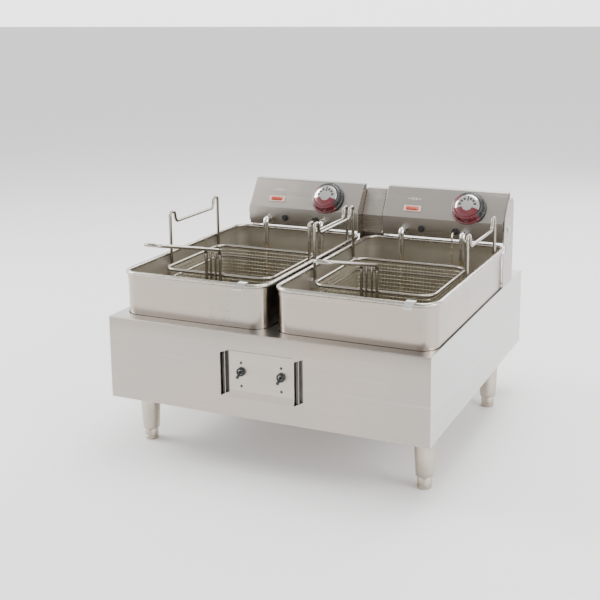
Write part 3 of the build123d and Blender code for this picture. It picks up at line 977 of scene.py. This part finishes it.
@dataclass
class SwitchPanel:
    """The plate behind the front's opening, with two toggle switches."""

    finishes: Finishes
    tilt: float = math.radians(28)

    def build(self) -> None:
        """Builds the nuts and the levers, and dresses the plate."""
        plate = BrushedSteel("switch_plate_brushed", Grain.LEVEL, (0.485, 0.42, 0.37),
                             (0.46, 0.42, 0.375), 0.33, 23.0).material()
        dress(plate, "switch_bracket")
        soften("switch_bracket", 0.4 * MM)
        dress(self.finishes.black, "switch_bodies")
        low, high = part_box("switch_nuts")
        nuts = Skin()
        for side in SIDES:
            toggle_low, toggle_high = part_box(f"{side}_toggle")
            x, z = (toggle_low.x + toggle_high.x) / 2, (low.z + high.z) / 2
            self.nut(nuts, Vector((x, high.y, z)), high.y - low.y)
            self.lever(side, x, z, low.y + 0.95 * MM)
        nuts.make("switch_dress_nuts", "root", "black_plastic", self.finishes.black,
                  self.finishes.zinc, stands_for=("switch_nuts",))

    def nut(self, skin: Skin, point: Vector, height: float) -> None:
        """A round dress nut with a knurled edge and a dished face.

        Args:
            skin: takes the nut.
            point: the middle of its back.
            height: how far it stands out.
        """
        place = facing(point, Vector((0, -1, 0)), Vector((1, 0, 0)))
        teeth, rings = 30, []
        for radius, lift, depth in ((7.7, 0.0, 0.0), (8.0, 0.25, 0.5), (8.0, 0.75, 0.5),
                                    (7.6, 0.93, 0.1), (7.2, 1.0, 0.0), (6.2, 1.0, 0.0),
                                    (6.1, 0.8, 0.0), (6.1, 0.0, 0.0)):
            ring = []
            for k in range(teeth * 4):
                notch = depth * MM if k % 4 == 0 else 0.0
                reach, angle = radius * MM - notch, math.tau * k / (teeth * 4)
                ring.append(place @ Vector((reach * math.cos(angle), reach * math.sin(angle),
                                            height * lift)))
            rings.append(ring)
        skin.loft(rings, caps=False, loop=True)
        skin.lathe([(r * MM, h * height) for r, h in ((3.3, 0.0), (3.3, 0.80), (3.7, 0.90), (4.4, 0.90),
                                                      (4.8, 0.80), (4.8, 0.0))], place, 40, 1)

    def lever(self, side: str, x: float, z: float, pivot_y: float) -> None:
        """A bat lever, which swells towards its tip.

        Args:
            side: which switch.
            x: the pivot's x.
            z: the pivot's z.
            pivot_y: the pivot's y.
        """
        out = Vector((0, -math.cos(self.tilt), math.sin(-self.tilt)))
        place = facing(Vector((x, pivot_y, z)), out, Vector((1, 0, 0)))
        profile = [(0.0, -2.4), (1.3, -2.0), (2.1, -1.0), (2.4, 0.0), (2.2, 0.9), (1.9, 1.6),
                   (1.95, 3.0), (2.25, 6.0), (2.65, 9.0), (3.0, 11.6), (3.15, 12.9), (3.05, 13.6),
                   (2.5, 14.2), (1.4, 14.45), (0.0, 14.5)]
        skin = Skin().lathe([(r * MM, h * MM) for r, h in profile], place, 28)
        skin.make(f"{side}_bat_lever", f"{side}_toggle", "black_plastic", self.finishes.black,
                  stands_for=(f"{side}_toggle",))


@dataclass
class Pot:
    """One drawn pot with its rolled rim and its wires."""

    finishes: Finishes
    side: str
    rim: float = 4.0 * MM
    wall: float = 2.0 * MM
    corner: float = 30.0 * MM
    floor_bend: float = 18.0 * MM
    oil_line: float = 0.268

    def build(self) -> None:
        """Builds the vessel and dresses its wires."""
        low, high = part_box(f"{self.side}_pot")
        middle = (low + high) / 2
        half_x = (high.x - low.x) / 2 - self.rim
        half_y = (high.y - low.y) / 2 - self.rim
        steps: list[tuple[float, float]] = []
        for k in range(7):
            angle = math.radians(15 * k)
            steps.append((-self.floor_bend * (1 - math.sin(angle)),
                          low.z + self.floor_bend * (1 - math.cos(angle))))
        bead_z = high.z - self.rim
        steps.append((0.0, bead_z - 20 * MM))
        for k in range(17):
            angle = math.radians(-70 + 17.5 * k)
            steps.append((self.rim * math.cos(angle), bead_z + self.rim * math.sin(angle)))
        inner_floor = low.z + self.wall
        steps.append((-self.wall, bead_z - 5 * MM))
        steps.append((-self.wall, bead_z - 22 * MM))
        for k in range(8):
            steps.append((-self.wall - 0.0001 * (k % 2), bead_z - (30 + 15 * k) * MM))
        for k in range(7):
            angle = math.radians(15 * k)
            steps.append((-self.wall - self.floor_bend * (1 - math.cos(angle)),
                          inner_floor + self.floor_bend * (1 - math.sin(angle))))
        rings = [round_rect(Vector((middle.x, middle.y, z)), half_x + out, half_y + out,
                            max(self.corner + out, 8 * MM), 10) for out, z in steps]
        seed = 1.0 if self.side == "left" else 6.0
        outside = BrushedSteel(f"{self.side}_pot_outside", Grain.LEVEL, (0.430, 0.365, 0.308),
                               (0.395, 0.355, 0.308), 0.24, seed).material()
        inside = OiledAndShadedSteel(f"{self.side}_pot_inside", self.oil_line, seed).material()
        bead = PlatedWire(f"{self.side}_pot_rim", (0.46, 0.43, 0.385), (0.30, 0.27, 0.22),
                          0.20, 0.6).material()
        skin = Skin().loft(rings)
        size = len(rings[0])
        for index in range(len(skin.faces)):
            ring = index // size
            skin.marks[index] = 0 if ring < 8 else 1 if ring > 23 else 2
        skin.marks[-2], skin.marks[-1] = 0, 1
        skin.make(f"{self.side}_drawn_pot", "root", "pot_steel", outside, inside, bead,
                  stands_for=(f"{self.side}_pot",), smooth=50)
        dress(self.finishes.wire, f"{self.side}_pot_rails")


@dataclass
class Head:
    """One swing-up control head, with its folded cover, lamp, reset button and heater."""

    finishes: Finishes
    side: str
    middle: float = field(init=False)
    sheet: float = 1.5 * MM
    crease: float = 39.0 * MM
    slope_run: float = 37.0 * MM
    bend: float = 2.2 * MM
    port_drop: float = 4.75 * MM

    def __post_init__(self) -> None:
        """Reads the head's place from the frame."""
        self.body = f"{self.side}_head"
        self.low, self.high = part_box(f"{self.side}_head_housing")
        self.middle = self.low.x + 110.0 * MM
        self.crease_z = self.low.z + self.crease
        up = Vector((0, self.slope_run, self.high.z - self.crease_z)).normalized()
        self.slope_up = up
        self.slope_out = Vector((0, -up.z, up.y))

    def on_slope(self, across: float, along: float, out: float = 0.0) -> Vector:
        """A point by the sloped face.

        Args:
            across: from the pot's middle.
            along: up the slope from the crease.
            out: away from the face.

        Returns:
            The point.
        """
        start = Vector((self.middle + across, self.low.y, self.crease_z))
        return start + self.slope_up * along + self.slope_out * out

    def build(self) -> None:
        """Builds every piece of the head."""
        self.cover()
        self.rear_cover()
        self.lamp()
        self.heat_mark()
        self.hardware()

    def cover(self) -> None:
        """The folded cover with rounded bends, and the two end plates set into it, near-black as
        painted shade for the dark gaps at the head's ends.
        """
        low, high, t = self.low, self.high, self.sheet
        base = [Vector((0, y, z)) for y, z in (
            (low.y + 29 * MM, low.z), (low.y, low.z), (low.y, self.crease_z),
            (low.y + self.slope_run, high.z), (high.y, high.z))]
        outer = arc_path(base, self.bend, 5)
        inner = arc_path(offset_path(base, -t), max(self.bend - t, 0.5 * MM), 5)
        skin = Skin()
        skin.prism([Vector((low.x, p.y, p.z)) for p in outer + inner[::-1]],
                   Vector((high.x - low.x, 0, 0)))
        skin.make(f"{self.side}_cover_wrap", self.body, "brushed_panel", self.finishes.head,
                  stands_for=(f"{self.side}_head_housing",), edge=0.3 * MM)
        self.under_back()
        plates = Skin()
        inset = 0.35 * MM
        outline = arc_path([Vector((0, y, z)) for y, z in (
            (low.y + t * 0.9, low.z + t * 0.9), (low.y + t * 0.9, self.crease_z - 0.3 * MM),
            (low.y + self.slope_run + 0.6 * MM, high.z - t * 0.9), (high.y, high.z - t * 0.9),
            (high.y, low.z + 31 * MM), (low.y + 43 * MM, low.z + 27 * MM),
            (low.y + 36 * MM, low.z + 8 * MM), (low.y + 28 * MM, low.z + t * 0.9))],
            1.5 * MM, 3, closed=True)
        for x in (low.x + inset, high.x - inset - t):
            plates.prism([Vector((x, p.y, p.z)) for p in outline], Vector((t, 0, 0)))
        # The end plates wear the near-black finish: painted shade for the dark gap at each end of the
        # head.
        plates.make(f"{self.side}_cover_ends", self.body, "brushed_panel", self.finishes.near_black_shade_sheet,
                    edge=0.25 * MM)

    def under_back(self) -> None:
        """The sheet that closes the head below its removable back."""
        low, high, t = self.low, self.high, self.sheet
        base = [Vector((0, y, z)) for y, z in (
            (high.y, high.z - 60.5 * MM), (high.y, low.z + 31 * MM), (low.y + 43 * MM, low.z + 27 * MM),
            (low.y + 36 * MM, low.z + 8 * MM), (low.y + 28.5 * MM, low.z + 0.1 * MM))]
        outer = arc_path(base, 1.0 * MM, 3)
        inner = arc_path(offset_path(base, t), 0.5 * MM, 3)
        skin = Skin()
        skin.prism([Vector((low.x + t, p.y, p.z)) for p in outer + inner[::-1]],
                   Vector((high.x - low.x - 2 * t, 0, 0)))
        skin.make(f"{self.side}_cover_under_back", self.body, "brushed_panel",
                  self.finishes.rear, stands_for=(f"{self.side}_head_housing",))

    def rear_cover(self) -> None:
        """The removable back of the head, with shallow louvres."""
        low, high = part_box(f"{self.side}_head_rear_cover")
        dress(self.finishes.rear, f"{self.side}_head_rear_cover")
        skin = Skin()
        for row in range(3):
            for x in (low.x + 30 * MM, low.x + 130 * MM):
                louvre(skin, Vector((x, high.y - 0.8 * MM, low.z + (12 + row * 12) * MM)), 84 * MM,
                       7 * MM, 0.8 * MM)
        skin.make(f"{self.side}_head_louvres", self.body, "brushed_panel", self.finishes.rear)

    def lamp(self) -> None:
        """The pilot lamp: a ribbed lens in a pale frame."""
        place = facing(self.on_slope(-49.5 * MM, 19.0 * MM), self.slope_out, Vector((1, 0, 0)))
        steps = ((18.0, 6.5, 0.0), (18.0, 6.5, 1.3), (17.3, 5.8, 2.0), (13.6, 4.3, 2.0),
                 (12.9, 3.6, 1.3), (12.9, 3.6, -2.0))
        rings = []
        for half_x, half_y, lift in steps:
            flat = round_rect(Vector((0, 0, lift * MM)), half_x * MM, half_y * MM, 1.4 * MM, 4)
            rings.append([place @ p for p in flat])
        pale = Moulded(f"{self.side}_lamp_frame", (0.62, 0.40, 0.36), (0.54, 0.33, 0.28),
                       0.35).material()
        Skin().loft(rings, caps=False).make(
            f"{self.side}_lamp_bezel", self.body, "bezel_pale", pale,
            stands_for=(f"{self.side}_pilot_bezel",))
        lens = Skin()
        ribs = 22
        rings = []
        for k in range(ribs * 2 + 1):
            x = (-12.4 + 24.8 * k / (ribs * 2)) * MM
            rise = (3.4 + (0.35 if k % 2 else 0.0) - 0.9 * (x / (12.4 * MM)) ** 4) * MM
            rings.append([place @ Vector((x, y * MM, rise - 0.7 * MM * abs(y / 3.1) ** 3))
                          for y in (-3.1, -2.5, -1.2, 0.0, 1.2, 2.5, 3.1)]
                         + [place @ Vector((x, 3.1 * MM, -6 * MM)),
                            place @ Vector((x, -3.1 * MM, -6 * MM))])
        lens.loft(rings)
        lens.make(f"{self.side}_lamp_lens", self.body, "lens_red",
                  LampLens(f"{self.side}_amber").material(),
                  stands_for=(f"{self.side}_pilot_lens",), smooth=60)

    def heat_mark(self) -> None:
        """A generic printed mark: three rising waves between two bars."""
        place = facing(self.on_slope(-49 * MM, 41 * MM, 0.05 * MM), self.slope_out, Vector((1, 0, 0)))
        skin = Skin()
        for k in range(3):
            x0 = (-4.5 + 4.5 * k) * MM
            path = [place @ Vector((x0 + 0.7 * MM * math.sin(t * 1.25), (-2.8 + t * 0.56) * MM, 0.0))
                    for t in range(11)]
            skin.tube(path, 0.42 * MM, 6)
        for x in (-13.5, 9.5):
            flat = [place @ Vector(((x + dx) * MM, dy * MM, 0)) for dx, dy in
                    ((0, -0.5), (4.0, -0.5), (4.0, 0.5), (0, 0.5))]
            skin.prism(flat, self.slope_out * 0.12 * MM)
        skin.make(f"{self.side}_heat_mark", self.body, "bezel_pale", self.finishes.pale_ink)

    def hardware(self) -> None:
        """Finishes for the nodes that keep their CAD shape."""
        sheath = HeaterSheath(f"{self.side}_heater_sheath").material()
        dress(sheath, f"{self.side}_element")
        dress(self.finishes.chrome, f"{self.side}_element_glands")
        dress(self.finishes.zinc, f"{self.side}_thermostat")
        dress(self.finishes.black, f"{self.side}_hi_limit")
        dress(self.finishes.wire, f"{self.side}_element_guard")
        copper = PlatedWire(f"{self.side}_capillary", (0.72, 0.62, 0.50), (0.48, 0.36, 0.26),
                            0.22, 0.6).material()
        self.sensor(copper)
        self.sleeves()
        dress(self.finishes.black, f"{self.side}_reset_button")
        for node, width in (("element_glands", 0.5), ("reset_button", 0.9)):
            soften(f"{self.side}_{node}", width * MM)

    def sensor(self, copper: bpy.types.Material) -> None:
        """Dresses the sensor: a black grommet at the face and a copper-coloured tube."""
        dress(copper, f"{self.side}_sensor")
        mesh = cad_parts[f"{self.side}_sensor"].data
        mesh.materials.append(self.finishes.black)
        grommet = self.low.y - 5.2 * MM
        for polygon in mesh.polygons:
            polygon.material_index = 1 if polygon.center.y > grommet else 0

    def sleeves(self) -> None:
        """The bright cold ends of the element, which are thicker down to just below the rim."""
        port_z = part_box(f"{self.side}_element")[1].z - self.port_drop
        skin = Skin()
        for across in (-63.0 * MM, 64.0 * MM):
            x = self.middle + across
            back = self.low.y - 18.0 * MM
            path = arc_path([Vector((x, self.low.y - 4.6 * MM, port_z)), Vector((x, back, port_z)),
                             Vector((x, back, port_z - 52 * MM))], 12.6 * MM, 8)
            skin.tube(path, 6.3 * MM, 16)
            tip = path[-1]
            skin.lathe([(6.3 * MM, 0.4 * MM), (6.1 * MM, -1.2 * MM), (5.0 * MM, -2.4 * MM)],
                       Matrix.Translation(tip), 24)
        skin.make(f"{self.side}_element_sleeves", self.body, "element_sheath",
                  self.finishes.chrome)


def offset_path(points: Sequence[Vector], distance: float) -> list[Vector]:
    """Moves an open run of lines in the Y-Z plane sideways.

    Args:
        points: the corners.
        distance: how far, to the left of the way it runs.

    Returns:
        The moved corners.
    """
    moved = []
    for index, corner in enumerate(points):
        ways = []
        if index:
            ways.append((corner - points[index - 1]).normalized())
        if index < len(points) - 1:
            ways.append((points[index + 1] - corner).normalized())
        sides = [Vector((0, -way.z, way.y)) for way in ways]
        sharing = 1 + sides[0].dot(sides[1]) if len(sides) > 1 else 1.0
        moved.append(corner + sum(sides, Vector()) * (distance / sharing))
    return moved


@dataclass
class Dial:
    """A domed control dial: skirt, maroon ring, polished cap and scale, with painted reflections on the
    ring and the cap.
    """

    finishes: Finishes
    head: Head
    across: float = 67.0 * MM
    along: float = 27.0 * MM

    def build(self) -> None:
        """Builds the dial, its scale and its pointer."""
        side = self.head.side
        body = f"{side}_dial"
        place = facing(self.head.on_slope(self.across, self.along), self.head.slope_out,
                       Vector((1, 0, 0)))
        ring = [(3.0, -14.5), (3.0, 2.0), (34.0, 2.0), (35.0, 2.8), (35.0, 5.2), (34.2, 6.0),
                (31.6, 6.2), (31.2, 7.4), (29.6, 13.6), (28.6, 15.0), (27.2, 15.6), (24.6, 15.7)]
        cap = [(24.6, 15.7), (24.3, 15.2), (23.9, 15.2), (23.6, 15.9), (21.5, 16.7), (16.0, 17.4),
               (10.5, 17.8), (8.0, 17.95), (0.0, 18.0)]
        maroon = Moulded(f"{side}_dial_maroon", (0.105, 0.012, 0.018), (0.16, 0.026, 0.032), 0.26,
                         500.0, 0.3).material()
        skin = Skin()
        skin.lathe([(r * MM, h * MM) for r, h in ring], place, 96, 0)
        self.flute(skin, place)
        skin.lathe([(r * MM, h * MM) for r, h in cap], place, 96, 1)
        self.zones(skin, place)
        skin.make(f"{side}_dial_knob", body, "dial_face", maroon, self.finishes.chrome,
                  self.finishes.black, stands_for=(f"{side}_dial",), smooth=42)
        self.scale(side, body, place)

    def zones(self, skin: Skin, place: Matrix) -> None:
        """Colours the ring maroon and the cap polished, with painted reflections: black over one side
        of the ring and skirt, maroon over a band on the cap's lower side.

        Args:
            skin: the dial's skin.
            place: the dial's place.
        """
        back = place.inverted()
        for index, face in enumerate(skin.faces):
            middle = back @ (sum((skin.points[i] for i in face), Vector()) / len(face))
            radius = math.hypot(middle.x, middle.y)
            turn = math.degrees(math.atan2(middle.y, middle.x)) % 360
            # Painted reflections: the ring and skirt turn black on one side, and the polished cap turns
            # maroon in a band on its lower side.
            if radius > 24.5 * MM or middle.z < 14 * MM:
                skin.marks[index] = 0 if 128 < turn < 322 else 2
            elif radius > 10.5 * MM and 196 < turn < 344:
                skin.marks[index] = 0

    def flute(self, skin: Skin, place: Matrix) -> None:
        """Presses grip flutes into the ring's side.

        Args:
            skin: the dial's skin.
            place: the dial's place.
        """
        back = place.inverted()
        for index, point in enumerate(skin.points):
            local = back @ point
            radius = math.hypot(local.x, local.y)
            if 28.4 * MM < radius < 31.5 * MM and local.z > 7 * MM:
                turn = math.atan2(local.y, local.x)
                dent = 1 - 0.025 * max(0.0, math.sin(turn * 24)) ** 2
                skin.points[index] = place @ Vector((local.x * dent, local.y * dent, local.z))

    def scale(self, side: str, body: str, place: Matrix) -> None:
        """Tick marks and small figures on the skirt, and a pointer on the cap.

        Args:
            side: which head.
            body: the dial's body.
            place: the dial's place.
        """
        pale = Moulded(f"{side}_dial_print", (0.80, 0.79, 0.76), (0.62, 0.60, 0.57), 0.45).material()
        skin = Skin()
        for k in range(28):
            angle = math.radians(225 - 10 * k)
            long_tick = k % 3 == 0
            r0, r1 = (32.0, 34.0) if long_tick else (32.9, 34.0)
            half = 0.30 if long_tick else 0.18
            along = Vector((math.cos(angle), math.sin(angle), 0))
            aside = Vector((-along.y, along.x, 0))
            flat = [place @ ((along * r + aside * s * half + Vector((0, 0, 6.08))) * MM)
                    for r, s in ((r0, -1), (r1, -1), (r1, 1), (r0, 1))]
            skin.prism(flat, (place.to_3x3() @ Vector((0, 0, 1))) * 0.12 * MM)
        pointer = [place @ (Vector((x, y, 16.9)) * MM) for x, y in
                   ((-1.6, 10.0), (1.6, 10.0), (1.2, 20.5), (0.0, 22.6), (-1.2, 20.5))]
        skin.prism(pointer, (place.to_3x3() @ Vector((0, 0, 1))) * MM, 1)
        for start in (8, 34, 60, 108, 134, 160):
            arc = [place @ (Vector((r * math.cos(math.radians(a)),
                                    r * math.sin(math.radians(a)), z)) * MM)
                   for r, z, turns in ((13.0, 17.72, range(0, 19, 3)), (18.4, 17.22, range(18, -1, -3)))
                   for a in (start + turn for turn in turns)]
            skin.prism(arc, (place.to_3x3() @ Vector((0, 0, 1))) * 0.14 * MM, 1)
        skin.make(f"{side}_dial_scale", body, "dial_face", pale, self.finishes.ink)


@dataclass
class Basket:
    """One fry basket: woven wire, frame and handle."""

    finishes: Finishes
    side: str
    pitch: float = 6.6 * MM
    wire: float = 0.68 * MM
    sway: float = 0.42 * MM
    taper: float = math.tan(math.radians(6))
    top_corner: float = 24.0 * MM

    def build(self) -> None:
        """Builds the woven wire and dresses the frame and handle."""
        self.low, self.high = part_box(f"{self.side}_basket_mesh")
        self.rim_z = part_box(f"{self.side}_basket_frame")[1].z - 3 * MM
        self.weave()
        self.ribs()
        dress(self.finishes.wire, f"{self.side}_basket_frame", f"{self.side}_basket_handle")

    def outline(self, z: float) -> tuple[float, float, float]:
        """Half width, half depth and corner radius of the wall at a height."""
        drop = (self.rim_z - z) * self.taper
        half_x = (self.high.x - self.low.x) / 2 - self.wire - drop
        half_y = (self.high.y - self.low.y) / 2 - self.wire - drop
        return half_x, half_y, max(self.top_corner - drop, 6 * MM)

    def stations(self, z: float, counts: tuple[int, int, int]) -> list[tuple[Vector, Vector]]:
        """Points round the wall where upright wires pass, with their outward directions.

        Args:
            z: the height.
            counts: wires on a side along x, along y, and round a corner.

        Returns:
            The points and directions, counter-clockwise from the front left.
        """
        middle = (self.low + self.high) / 2
        half_x, half_y, corner = self.outline(z)
        nx, ny, nc = counts
        spots = []
        for quarter in range(4):
            turn = math.radians(90 * quarter)
            along = Vector((math.cos(turn), math.sin(turn), 0))
            out = Vector((along.y, -along.x, 0))
            length, reach = (half_x, half_y) if quarter % 2 == 0 else (half_y, half_x)
            count = nx if quarter % 2 == 0 else ny
            for k in range(count):
                s = -1 + 2 * k / (count - 1)
                spots.append((Vector((middle.x, middle.y, z)) + along * s * (length - corner)
                              + out * reach, out))
            for k in range(1, nc + 1):
                angle = math.pi / 2 * k / (nc + 1)
                way = out * math.cos(angle) + along * math.sin(angle)
                hub = (Vector((middle.x, middle.y, z)) + along * (length - corner)
                       + out * (reach - corner))
                spots.append((hub + way * corner, way))
        return spots

    def weave(self) -> None:
        """The woven wire: rings, uprights and a floor of crossing wires."""
        base_z = self.low.z + 2 * self.wire
        half_x, half_y, corner = self.outline(base_z)
        counts = (round(2 * (half_x - corner) / self.pitch) + 1,
                  round(2 * (half_y - corner) / self.pitch) + 1, 4)
        rows = round((self.rim_z - base_z) / self.pitch)
        levels = [base_z + (self.rim_z - base_z) * k / rows for k in range(rows + 1)]
        grid = [self.stations(z, counts) for z in levels]
        skin = Skin()
        for j, ring in enumerate(grid[:-1]):
            path = [p + out * self.sway * (-1) ** (k + j) for k, (p, out) in enumerate(ring)]
            skin.tube(path, self.wire, 5, loop=True)
        nx, ny, nc = counts
        floor = levels[0] - 0.2 * MM
        spans = [(k, 2 * nx + ny + 2 * nc - 1 + nc - k) for k in range(nx)]
        spans += [(nx + nc + k, 2 * nx + 2 * ny + 3 * nc - 1 - k) for k in range(ny)]
        joined = {k for pair in spans for k in pair}
        for index, (first, last) in enumerate(spans):
            path = self.upright(grid, first)[::-1]
            start, end = grid[0][first][0], grid[0][last][0]
            crossings = ny if first < nx else nx
            for k in range(1, crossings - 1):
                p = start.lerp(end, k / (crossings - 1))
                flip = self.sway * (-1) ** (k + index) * (1 if first < nx else -1)
                path.append(Vector((p.x, p.y, floor + flip)))
            path += self.upright(grid, last)
            skin.tube(path, self.wire, 5)
        for k in range(len(grid[0])):
            if k not in joined:
                skin.tube(self.upright(grid, k), self.wire, 5)
        skin.make(f"{self.side}_woven_basket", f"{self.side}_basket", "bright_wire",
                  self.finishes.mesh_wire, stands_for=(f"{self.side}_basket_mesh",), smooth=60)

    def upright(self, grid: Sequence[Sequence[tuple[Vector, Vector]]], k: int) -> list[Vector]:
        """One upright wire's path, from the floor to the rim."""
        return [ring[k][0] - ring[k][1] * self.sway * (-1) ** (k + j) for j, ring in enumerate(grid)]

    def ribs(self) -> None:
        """The heavier wires: two more rings, and the pair between the handle's legs."""
        middle = (self.low + self.high) / 2
        skin = Skin()
        for z, radius, inset in ((self.low.z + 6 * MM, 1.5 * MM, 2.2 * MM),
                                 (self.rim_z - 19 * MM, 1.7 * MM, 2.6 * MM)):
            half_x, half_y, corner = self.outline(z)
            ring = round_rect(Vector((middle.x, middle.y, z)), half_x - inset, half_y - inset,
                              corner, 6)
            skin.tube(ring, radius, 8, loop=True)
        handle_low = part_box(f"{self.side}_basket_handle")[0]
        wall_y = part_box(f"{self.side}_basket_frame")[0].y - 3.3 * MM
        shoulder_z = self.rim_z + 47.5 * MM
        for x in (-4.9 * MM, 4.9 * MM):
            top = Vector((middle.x + x, wall_y - 0.4 * MM, shoulder_z))
            foot = Vector((middle.x + x, wall_y + 0.2 * MM, handle_low.z + 1 * MM))
            skin.tube([top, top.lerp(foot, 0.5), foot], 2.0 * MM, 10)
        for z in (shoulder_z - 4 * MM, handle_low.z + 7 * MM):
            left = Vector((middle.x - 14.2 * MM, wall_y, z))
            right = Vector((middle.x + 14.2 * MM, wall_y, z))
            skin.tube([left, left.lerp(right, 0.5), right], 1.8 * MM, 10)
        skin.make(f"{self.side}_basket_ribs", f"{self.side}_basket", "bright_wire",
                  self.finishes.wire)


@dataclass
class Hinges:
    """The fixed metal that carries the heads, and the small fittings on the pots."""

    finishes: Finishes

    def build(self) -> None:
        """Dresses the nodes and rounds their edges."""
        dress(self.finishes.post, "centre_post", "hinge_cheeks")
        soften("centre_post", 0.5 * MM)
        soften("hinge_cheeks", 0.35 * MM)
        dress(self.finishes.zinc, "hinge_pins", "rail_clips")
        dress(self.finishes.chrome, "pot_tabs")
        soften("hinge_pins", 0.8 * MM)
        soften("pot_tabs", 0.3 * MM)
        soften("rail_clips", 0.4 * MM)


@dataclass
class Studio:
    """The camera, a pale floor and soft light."""

    lens_mm: float = 64.41
    sensor_mm: float = 36.0
    from_cabinet: Sequence[float] = (0.7976, -1.8611, 0.8143)
    yaw: float = math.radians(24.773)
    pitch: float = math.radians(11.229)
    roll: float = math.radians(-0.653)
    lift: float = -0.1433
    floor_reach: float = 30.0
    glow: float = 3.5
    zones: Sequence[tuple[Sequence[float], Sequence[tuple[float, float]]]] = (
        ((0.0, 0.0, 1.0), ((0.0, 0.9), (0.5, 1.0), (0.60, 0.95), (0.76, 0.50), (0.86, 0.25),
                           (1.0, 0.38))),
        ((0.087, -0.996, 0.0), ((0.0, 1.0), (0.90, 1.0), (0.955, 0.25), (1.0, 0.2))),
        ((0.766, -0.643, 0.0), ((0.0, 0.88), (0.955, 0.80), (0.975, 1.0), (1.0, 1.0))))

    def camera(self) -> None:
        """Makes the camera."""
        data = bpy.data.cameras.new("camera")
        data.sensor_width, data.lens, data.shift_y = self.sensor_mm, self.lens_mm, self.lift
        data.clip_start, data.clip_end = 0.01, 50.0
        forward = Vector((-math.sin(self.yaw) * math.cos(self.pitch),
                          math.cos(self.yaw) * math.cos(self.pitch), -math.sin(self.pitch)))
        right = Vector((math.cos(self.yaw), math.sin(self.yaw), 0))
        up = right.cross(forward)
        turned = right * math.cos(self.roll) + up * math.sin(self.roll)
        raised = up * math.cos(self.roll) - right * math.sin(self.roll)
        turn = Matrix((turned, raised, -forward)).transposed().to_4x4()
        camera = bpy.data.objects.new("camera", data)
        front_low, front_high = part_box("front_panel")
        rear_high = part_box("rear_panel")[1]
        cabinet = Vector(((front_low.x + front_high.x) / 2, (front_low.y + rear_high.y) / 2, 0))
        camera.matrix_world = Matrix.Translation(cabinet + Vector(self.from_cabinet)) @ turn
        bpy.context.scene.collection.objects.link(camera)
        bpy.context.scene.camera = camera

    def floor(self) -> None:
        """Makes the floor."""
        mesh = bpy.data.meshes.new("floor")
        reach = self.floor_reach
        mesh.from_pydata([(-reach, -reach, 0), (reach, -reach, 0), (reach, reach, 0),
                          (-reach, reach, 0)], [], [(0, 1, 2, 3)])
        sheet = NodeSheet("pale_floor")
        haze = sheet.noise((2.0, 2.0, 2.0), 2.0)
        mesh.materials.append(sheet.finish(
            Base_Color=sheet.blend(haze, (0.91, 0.91, 0.905), (0.93, 0.93, 0.925)), Roughness=0.75))
        floor = bpy.data.objects.new("floor", mesh)
        bpy.context.scene.collection.objects.link(floor)

    def lamp(self, name: str, place: Sequence[float], target: Sequence[float], size: float,
             power: float, tint: Colour = (1.0, 1.0, 1.0)) -> None:
        """Makes one soft square light.

        Args:
            name: its name.
            place: where it hangs.
            target: where it points.
            size: its side in metres.
            power: in watts.
            tint: its colour.
        """
        data = bpy.data.lights.new(name, "AREA")
        data.energy, data.size, data.color = power, size, tint
        lamp = bpy.data.objects.new(name, data)
        lamp.matrix_world = facing(Vector(place), Vector(place) - Vector(target))
        bpy.context.scene.collection.objects.link(lamp)

    def world(self) -> None:
        """A pale room, dimmer overhead and behind the viewer, with one tall bright window."""
        world = bpy.data.worlds.new("room")
        world.use_nodes = True
        nodes = Nodes(world.node_tree)
        way_out = Value(nodes, nodes.add("ShaderNodeTexCoord").outputs["Generated"])
        room: Value | None = None
        for way, stops in self.zones:
            along = nodes.add("ShaderNodeVectorMath", {"operation": "DOT_PRODUCT"},
                              {0: way_out, 1: way})
            share = Value(nodes, along.outputs["Value"]) * 0.5 + 0.5
            ramp = nodes.add("ShaderNodeValToRGB", {"stops": stops}, {0: share})
            zone = Value(nodes, ramp.outputs[0])
            if room is None:
                room = zone
                continue
            both = nodes.add("ShaderNodeVectorMath", {"operation": "MULTIPLY"}, {0: room, 1: zone})
            room = Value(nodes, both.outputs[0])
        glow = nodes.add("ShaderNodeBackground", inputs={0: room, 1: self.glow})
        nodes.add("ShaderNodeOutputWorld", inputs={0: Value(nodes, glow.outputs[0])})
        bpy.context.scene.world = world

    def lights(self) -> None:
        """The key from above left, a fill from the right and a rim from behind."""
        self.lamp("key", (-2.4, -0.4, 2.0), (0, -0.2, 0.2), 1.6, 80.0)
        self.lamp("top", (0.3, 0.5, 2.6), (0, 0, 0.2), 1.4, 50.0)
        self.lamp("fill", (2.5, -0.4, 1.3), (0.1, 0, 0.25), 1.4, 46.0)
        self.lamp("rim", (0.3, 2.6, 1.7), (0, 0, 0.3), 1.4, 30.0)


def main() -> None:
    """Builds the studio, then the fryer from the cabinet up."""
    logging.basicConfig(level=logging.INFO, format="%(name)s: %(message)s")
    studio = Studio()
    studio.camera()
    studio.floor()
    studio.world()
    studio.lights()
    finishes = Finishes()
    Cabinet(finishes).build()
    SwitchPanel(finishes).build()
    Hinges(finishes).build()
    for row in ("front", "rear"):
        for side in SIDES:
            Leg(finishes, row, side).build()
    for side in SIDES:
        Pot(finishes, side).build()
        head = Head(finishes, side)
        head.build()
        Dial(finishes, head).build()
        Basket(finishes, side).build()


if __name__ == "__main__":
    main()
